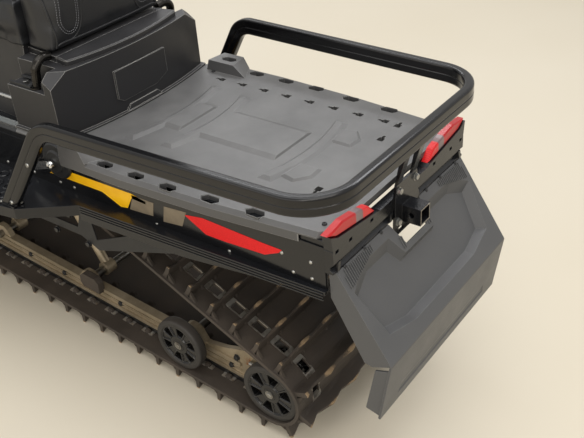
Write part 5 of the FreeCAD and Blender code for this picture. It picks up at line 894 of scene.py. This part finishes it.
def cushion(node, name, cap):
    """A blown cushion: the node's shape drawn in along its normals, remeshed, then filled by cloth pressure.

    No point moves further than the cap, and those near its base go back to where they were.
    """
    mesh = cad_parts[node].data.copy()
    mesh.name = name
    thing = bpy.data.objects.new(name, mesh)
    bpy.context.scene.collection.objects.link(thing)
    form = bmesh.new()
    form.from_mesh(mesh)
    bmesh.ops.remove_doubles(form, verts=form.verts, dist=1e-5)
    bmesh.ops.recalc_face_normals(form, faces=form.faces)
    form.to_mesh(mesh)
    form.free()
    mesh.materials.clear()
    mesh.materials.append(vinyl)
    bpy.context.view_layer.objects.active = thing
    remesh = thing.modifiers.new("even", "REMESH")
    remesh.mode = "VOXEL"
    remesh.voxel_size = VOXEL
    bpy.ops.object.modifier_apply(modifier="even")
    mesh = thing.data
    count = len(mesh.vertices)
    rest, out = corners_of(mesh), np.empty(count * 3)
    mesh.vertex_normals.foreach_get("vector", out)
    out = out.reshape(-1, 3)
    shrunk = rest - out * DRAWN_IN
    mesh.vertices.foreach_set("co", shrunk.ravel())
    mesh.update()
    cloth = thing.modifiers.new("foam", "CLOTH")
    cloth.settings.use_pressure = True
    cloth.settings.uniform_pressure_force = 4
    cloth.settings.effector_weights.gravity = 0
    cloth.settings.quality = 4
    cloth.settings.bending_stiffness = 12
    cloth.settings.tension_stiffness = cloth.settings.compression_stiffness = 25
    for step in range(1, 21):
        bpy.context.scene.frame_set(step)
    blown = corners_of(thing.evaluated_get(bpy.context.evaluated_depsgraph_get()).data)
    thing.modifiers.remove(cloth)
    bpy.context.scene.frame_set(1)
    move = blown - shrunk
    size = np.linalg.norm(move, axis=1)[:, None]
    blown = shrunk + move * np.minimum(1, cap / np.maximum(size, 1e-9))
    lowest, highest = (np.array(corner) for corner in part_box(node))
    depth = rest[:, 2] + rest[:, 0] * math.tan(tunnel_pitch)
    base = depth < depth.min() + 0.012
    blown[base] = rest[base]
    # It stays within 4 mm below its node's box and 8 mm above it.
    blown = np.clip(blown, lowest - 0.004, highest + 0.008)
    thing.data.vertices.foreach_set("co", blown.ravel())
    smooth = thing.modifiers.new("soften", "SMOOTH")
    smooth.factor, smooth.iterations = 0.5, 16
    bpy.ops.object.modifier_apply(modifier="soften")
    finer = thing.modifiers.new("finer", "SUBSURF")
    finer.levels = finer.render_levels = 1
    bpy.ops.object.modifier_apply(modifier="finer")
    thing.data.polygons.foreach_set("use_smooth", [True] * len(thing.data.polygons))
    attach(thing, "machine")
    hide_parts(node)
    return thing


def smooth_path(points, steps=8, closed=False):
    """A Catmull-Rom curve: between two points, a cubic whose slopes are half the chord of their neighbours."""
    p = np.asarray(points, float)
    p = np.concatenate([p[-1:], p, p[:2]] if closed else [p[:1], p, p[-1:]])
    t = np.linspace(0, 1, steps, endpoint=False)[:, None]
    a, b, c, d = (p[i:len(p) - 3 + i, None] for i in range(4))
    run = 0.5 * (2 * b + (c - a) * t + (2 * a - 5 * b + 4 * c - d) * t ** 2 + (3 * b - a - 3 * c + d) * t ** 3)
    return np.concatenate([run.reshape(-1, 3), p[-2:-1]])


def laid_on(thing, points, way, proud):
    """Points carried along a direction until they meet a piece's surface, then lifted off it."""
    tree = BVHTree.FromObject(thing, bpy.context.evaluated_depsgraph_get())
    way = np.asarray(way, float) / np.linalg.norm(way)
    found = []
    for start in points:
        hit = tree.ray_cast(Vector(start - way * 0.3), Vector(way))[0]
        if hit is not None:
            found.append(np.array(hit) - way * proud)
    return np.array(found)


def stitches(path, long=0.0042, gap=0.0018, wide=0.0011):
    """Short threads along a path: the path is cut by its length into dashes, each a small five-sided rod."""
    steps = np.linalg.norm(np.diff(path, axis=0), axis=1)
    run = np.concatenate([[0], np.cumsum(steps)])
    starts = np.arange(0, run[-1] - long, long + gap)
    ends = [np.stack([np.interp(starts + s, run, path[:, k]) for k in range(3)], -1)
            for s in (0, long * 0.5, long)]
    rods = []
    for a, b, c in zip(*ends):
        rods.append(tube(np.array([a, b, c]), np.array([wide * 0.4, wide, wide * 0.4]), (0.13, 0.29, 0.95), 5))
    return rods


rider = cushion("rider_seat", "rider_cushion", cap=0.016)
passenger = cushion("passenger_seat", "passenger_cushion", cap=0.018)
backrest = cushion("passenger_backrest", "backrest_cushion", cap=0.016)


def squared_oval(long, wide, power):
    """A superellipse's two coordinates at 24 angles.

    Each is half its length * sign(wave) * |wave| ** power, with the cosine and the sine as waves.
    """
    angle = np.linspace(0, 2 * math.pi, 24, endpoint=False)
    return [half * np.sign(wave) * np.abs(wave) ** power
            for half, wave in ((long, np.cos(angle)), (wide, np.sin(angle)))]


def sew(thing, line, way, proud=0.0006):
    """A row of stitches along a line in the tunnel's frame, carried onto a cushion."""
    seams.extend(stitches(laid_on(thing, at_tunnel(line), way, proud)))


def pipe(thing, line, way, proud, radius, closed=True):
    """A round welt along a line in the tunnel's frame, carried onto a cushion."""
    path = laid_on(thing, at_tunnel(line), way, proud)
    piping.append(tube(path[:-1] if closed else path, radius, way, 8, closed))


down, forward = (at_tunnel([way])[0] - at_tunnel([(0, 0, 0)])[0] for way in ((0, 0, -1), (1, 0, 0)))
seams, piping = [], []
# Each seat's top has a long oval, double-stitched round a fine welt.
for thing, low, high, half in ((rider, 1030, 1390, 96), (passenger, 704, 944, 120)):
    along, across = squared_oval((high - low) / 2, half, 0.6)
    oval = np.stack([(low + high) / 2 + along, across, np.full(24, 900.0)], -1)
    for grow in (0, 7):
        sew(thing, smooth_path(oval * [1, 1 + grow / half, 1], 10, True), down)
    pipe(thing, smooth_path(oval * [1, 1 + 3.5 / half, 1], 10, True), down, 0.0002, 0.0016)
# Welted edges: piping runs round the top of each seat and round both faces of the backrest.
WELT = 0.003
for thing, low, high, half in ((rider, 1006, 1424, 136), (passenger, 682, 968, 172)):
    front = half * 0.97
    ring = [(low, -half + 30), (low, half - 30), (low + 30, half), (high - 30, front), (high, front - 30),
            (high, -front + 30), (high - 30, -front), (low + 30, -half)]
    pipe(thing, smooth_path([(x, y, 1000) for x, y in ring], 12, True), down, 0.0006, WELT)
FRAME = [(-164, 880), (-164, 1225), (-136, 1252), (136, 1252), (164, 1225), (164, 880), (136, 852), (-136, 852)]
for way, x in ((forward, 400), (-forward, 800)):
    pipe(backrest, smooth_path([(x, y, z) for y, z in FRAME], 12, True), way, 0.0006, WELT)
# The backrest's rear has two sewn strips with rounded feet, each beside a deep groove. SPREAD is
# the way from a strip's inner seam to its outer one.
STRIP = np.array([(400, y, z) for y, z in ((146, 1190), (147, 1080), (149, 970), (152, 921), (152, 897),
                                           (143, 878), (127, 868), (110, 870), (99, 884), (93, 910), (92, 970),
                                           (93, 1080), (94, 1190))])
SPREAD = np.array([(0, y, z) for y, z in ((-1, 0), (-1, 0), (-1, 0), (-1, 0), (-1, 0.2), (-0.7, 0.7), (0, 1),
                                          (0.5, 0.9), (1, 0.4), (1, 0), (1, 0), (1, 0), (1, 0))])
GROOVE = np.array([(400, y, z)
                   for y, z in ((80, 1195), (80, 1000), (82, 920), (90, 880), (104, 858), (124, 850))])
for side in (1, -1):
    for shift in (0.0, 6.0):
        sew(backrest, smooth_path((STRIP + SPREAD * shift) * [1, side, 1]), forward, 0.0005)
    pipe(backrest, smooth_path(GROOVE * [1, side, 1]), forward, -0.0008, 0.0026, closed=False)
# Its front has an oval panel with a seam up its middle.
across, rise = squared_oval(112, 150, 0.7)
for grow in (1.0, 1.06):
    oval = np.stack([np.full(24, 800.0), across * grow, 1060 + rise * grow], -1)
    sew(backrest, smooth_path(oval, 10, True), -forward)
sew(backrest, np.stack([np.full(40, 800.0), np.zeros(40), np.linspace(925, 1195, 40)], -1), -forward, 0.0005)
piece("seat_stitching", *joined(seams), thread)
piece("seat_piping", *joined(piping), vinyl, smooth=True)

# ---------------------------------------------------------------- hood, cowls and nose
# Injection-moulded panels in moulded-in black gloss, clipped together along dark seams,
# with mesh-backed vents and quarter-turn fasteners.
# Moulded-in gloss plastic: deep black, faint waves, light dust.
hood_gloss = coated("moulded_gloss_plastic", "#0C0D0F", "#202226", 6.0, 0.14, edge="#2A2B2E", lift=0.35,
                    radius=2.0, depth=0.0001)
dress(hood_gloss, "hood")
# The cowls and nose are the same moulding left matt: a fine spark texture, dark grey.
cowl_matt = coated("spark_textured_plastic", "#27282A", "#414143", 1.4, 0.5, edge="#6E6E6D", radius=2.0,
                   lift=0.5)
dress(cowl_matt, "left_side_cowl", "right_side_cowl", "nose_panel")
# Impact copolymer: tough, dull and a little scratched below.
pan_plastic = coated("impact_copolymer", "#191A1C", "#35363A", 2.0, 0.45, edge="#404144", lift=0.5)
dress(pan_plastic, "belly_pan", "left_ski_post", "right_ski_post")
# Painted casting: shot-blasted to a fine tooth, dark and matt.
engine_alloy = mottled("painted_engine_casting", "#1B1C1D", "#2A2B2C", 1000 / 900, None, (0.35, 0.65), 2.0, 0.5,
                       Roughness=0.6)
dress(engine_alloy, "engine_block")

# Side vents: six raking louvres a side, each lifted 6 mm along its lower edge. One that would
# cross the cowl's edge is left out.
blades = []
for side in (1, -1):
    for k in range(6):
        x0 = 2140 + k * 34
        outline = [(x0, 570), (x0 + 22, 570), (x0 + 40, 680), (x0 + 18, 680)]
        start = at_level([(x, side * 700, z) for x, z in outline])
        spot = laid_on(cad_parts["left_side_cowl" if side > 0 else "right_side_cowl"], start,
                       (0, -side, 0), 0.0004)
        if len(spot) == 4:
            lifted = spot + [0, side * 0.006, 0]
            lifted[[0, 3]] = spot[[0, 3]] + [0, side * 0.0005, 0]
            blades.append(slab(spot - [0, side * 0.002, 0], lifted))
piece("hood_vents", *joined(blades), cast_powder)
# The hood's panel lines: narrow dark joints that close in towards the nose.
lines = []
for half in (-150, 150):
    run = np.stack([np.linspace(1560, 2600, 80), np.full(80, float(half)) * np.linspace(1.35, 0.75, 80),
                    np.full(80, 1300.0)], -1)
    path = laid_on(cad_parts["hood"], at_level(run), (0, 0, -1), -0.0004)
    lines.append(tube(path, 0.0014, (0, 0, 1), 6))
piece("hood_joints", *joined(lines), shadow_and_joint_black, smooth=True)
fasteners = []
for side in (1, -1):
    for x, z in ((1560, 780), (1800, 772), (2060, 764), (2320, 756), (2520, 700)):
        for node in ("hood", "left_side_cowl" if side > 0 else "right_side_cowl"):
            spot = laid_on(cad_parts[node], at_level([(x, side * 700, z)]), (0, -side, 0), 0)
            if len(spot):
                fasteners.append(turned([(0.009, -0.001), (0.009, 0.0008), (0.0075, 0.0022), (0.003, 0.0024),
                                         (0.0028, 0.0012), (0.0005, 0.0012)], spot[0], (0, side, 0), 14))
                break
piece("hood_fasteners", *joined(fasteners), cast_powder)

# The nose has a slatted intake between the lamps and the bumper.
slats = []
for z in (560, 580, 600, 620):
    across = np.linspace(-110, 110, 23)
    rows = []
    for lift, drop in ((0.0008, 0), (0.006, -3), (0.006, -7), (0.0008, -9)):
        start = at_level(np.stack([np.full(23, 2900.0), across, np.full(23, z + drop, float)], -1))
        spot = laid_on(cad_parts["nose_panel"], start, (-1, 0, 0), lift)
        rows.append(spot)
    rows.append(rows[0] - [0.003, 0, 0])
    slats.append(skin(np.stack(rows, 1), close_columns=True))
piece("nose_slats", *joined(slats), cast_powder)

# A round gauge in a rubber-edged pod stands on the console.
spot = laid_on(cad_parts["console"], at_level([(1560, 0, 1500)]), (0, 0, -1), 0)[0]
tilt = (-0.45, 0, 0.9)
pod = [(0.066, -0.03), (0.066, 0.018), (0.062, 0.024), (0.056, 0.024), (0.054, 0.016), (0.0005, 0.016)]
piece("gauge_pod", *turned(pod, spot, tilt, 40), cast_powder)
# Gauge glass: near black, flat and mirror-like.
gauge_glass = mottled("gauge_glass", "#0A0C0F", "#11141A", 9, (0.04, 0.1), Coat_Weight=1.0)
glass = [(0.0545, 0.0165), (0.0545, 0.0185), (0.05, 0.0205), (0.0005, 0.021)]
piece("gauge_face", *turned(glass, spot, tilt, 40), gauge_glass)

# ---------------------------------------------------------------- headlamps
# Moulded lenses set flush in the hood, over a bright-ringed bowl and a projector for each
# of the two lights a side.
# Clear polycarbonate: nearly colourless, with a trace of haze.
clear_lens = mottled("clear_polycarbonate", "#F4F7F9", "#ECF0F2", 30, (0.03, 0.08), Transmission_Weight=0.92,
                     IOR=1.58)
dress(clear_lens, "headlamps")
ahead_of_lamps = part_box("headlamps")[1][0] * 1000 - datum + 100
bowls, glows = [], []
for side in (1, -1):
    for y, z, r in ((118, 776, 20), (196, 788, 17)):
        spot = laid_on(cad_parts["headlamps"], at_level([(ahead_of_lamps, side * y, z)]), (-1, 0, 0), 0)
        place = (spot[0][0] * 1000 - datum, side * y, z)
        bowl = [(r, 0.6), (r, 2.4), (r * 0.86, 2.6), (r * 0.7, 0.8), (r * 0.3, 0.7), (0.5, 0.7)]
        bowls.append(turned(bowl, place, (1, 0, 0.25), 28))
        glow = [(r * 0.62, 0.4), (r * 0.55, 2.6), (r * 0.3, 4.0), (0.5, 4.4)]
        glows.append(turned(glow, place, (1, 0, 0.25), 24))
fitted(at_level, "lamp_bezels", bowls, chrome)
fitted(at_level, "lamp_projectors", glows, clear_lens, smooth=True)

# ---------------------------------------------------------------- windshield
# One thermoformed sheet of smoked polycarbonate, bent round the bar and screwed to the
# cowls through rubber washers.
# Smoked polycarbonate: a grey tint that still shows the bar behind it.
smoked = mottled("smoked_polycarbonate", "#A1A7AB", "#989EA2", 60, (0.04, 0.09), Transmission_Weight=0.95,
                 IOR=1.3)
dress(smoked, "windshield")

# ---------------------------------------------------------------- bumper, skis and steering
# Ribbed polyethylene skis on forged saddles, each with a steel wear bar under its keel.
# The bar has moulded rubber grips, a brake lever and a thumb throttle.
ski_plastic = coated("ski_polyethylene", "#141517", "#34363A", 2.4, 0.36, edge="#3C3E41", radius=2.0, lift=0.5)
dress(ski_plastic, "left_ski", "right_ski")
for side, word in ((1, "left"), (-1, "right")):
    centre = side * 487
    ribs = [prism("side", [(low, 25), (high, 25), (high - 4, 29), (low + 4, 29)], centre + off - 3, centre + off
                  + 3) for off in (-44, -22, 22, 44) for low, high in ((1860, 2250), (2440, 2610))]
    fitted(at_level, f"{word}_ski_ribs", ribs, ski_plastic, body=f"{word}_ski_unit")
    bolts = [turned(BOLT, (2350, centre + s * 44, 105), (0, s, 0), 6) for s in (-1, 1)]
    bolts += [turned(RIVET, (x, centre + s * 44, 46), (0, s, 0), 12) for x in (2240, 2460) for s in (-1, 1)]
    fitted(at_level, f"{word}_ski_bolts", bolts, zinc, body=f"{word}_ski_unit")
    bar = prism("side", [(1900, 0.6), (2500, 0.6), (2540, 8), (2530, 11), (1870, 11), (1860, 8)], centre - 10.5,
                centre + 10.5)
    fitted(at_level, f"{word}_wear_bar", [bar], steel, body=f"{word}_ski_unit")

# Handlebar: rubber grips with ring ribs, a brake lever, a throttle thumb and switch blocks.
# Grip rubber: black and matt, polished a little where hands rub it.
grip_rubber = coated("grip_rubber", "#131314", "#242425", 1.0, 0.6, edge="#303031")
bar_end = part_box("handlebar")[1][1] * 1000
spots = corners_of(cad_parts["handlebar"].data) * 1000 - [datum, 0, 0]
tip_points = spots[spots[:, 1] > bar_end - 4]
tip = (tip_points.max(0) + tip_points.min(0)) / 2
near_points = spots[(spots[:, 1] > bar_end - 116) & (spots[:, 1] < bar_end - 90)]
near = (near_points.max(0) + near_points.min(0)) / 2
grips = []
for side in (1, -1):
    flip = np.array([1, side, 1])
    a, b = near * flip, tip * flip
    axis = (b - a) / np.linalg.norm(b - a)
    long = np.linalg.norm(b - a)
    for k in range(14):
        place = a + axis * (8 + k * (long - 14) / 14)
        grips.append(turned([(16.4, -1.6), (18.4, -1.0), (18.4, 1.0), (16.4, 1.6)], place, axis, 18))
fitted(at_level, "grip_rings", grips, grip_rubber, body="handlebar_unit")
controls = []
for side in (1, -1):
    flip = np.array([1, side, 1])
    inner = near * flip - np.array([0, side * 26, 0])
    controls.append(turned([(0.5, -20), (20, -20), (22, -16), (22, 16), (20, 20), (0.5, 20)], inner, (0, 1, 0),
                           20))
# The lever's and the thumb's paths go from the switch block, below and ahead of the grip.
lever = smooth_path(np.array([near + [10, -22, -8], near + [16, -6, -20], near + [18, 40, -24], near
                              + [15, 92, -24]], float))
controls.append(tube(lever, 6.0, (0, 0, 1), 10))
thumb = smooth_path(np.array([near * [1, -1, 1] + [16, 16, -6], near * [1, -1, 1] + [24, -14, -16],
                              near * [1, -1, 1] + [16, -46, -22]], float))
controls.append(tube(thumb, 6.0, (0, 0, 1), 10))
fitted(at_level, "bar_controls", controls, cast_powder, body="handlebar_unit")
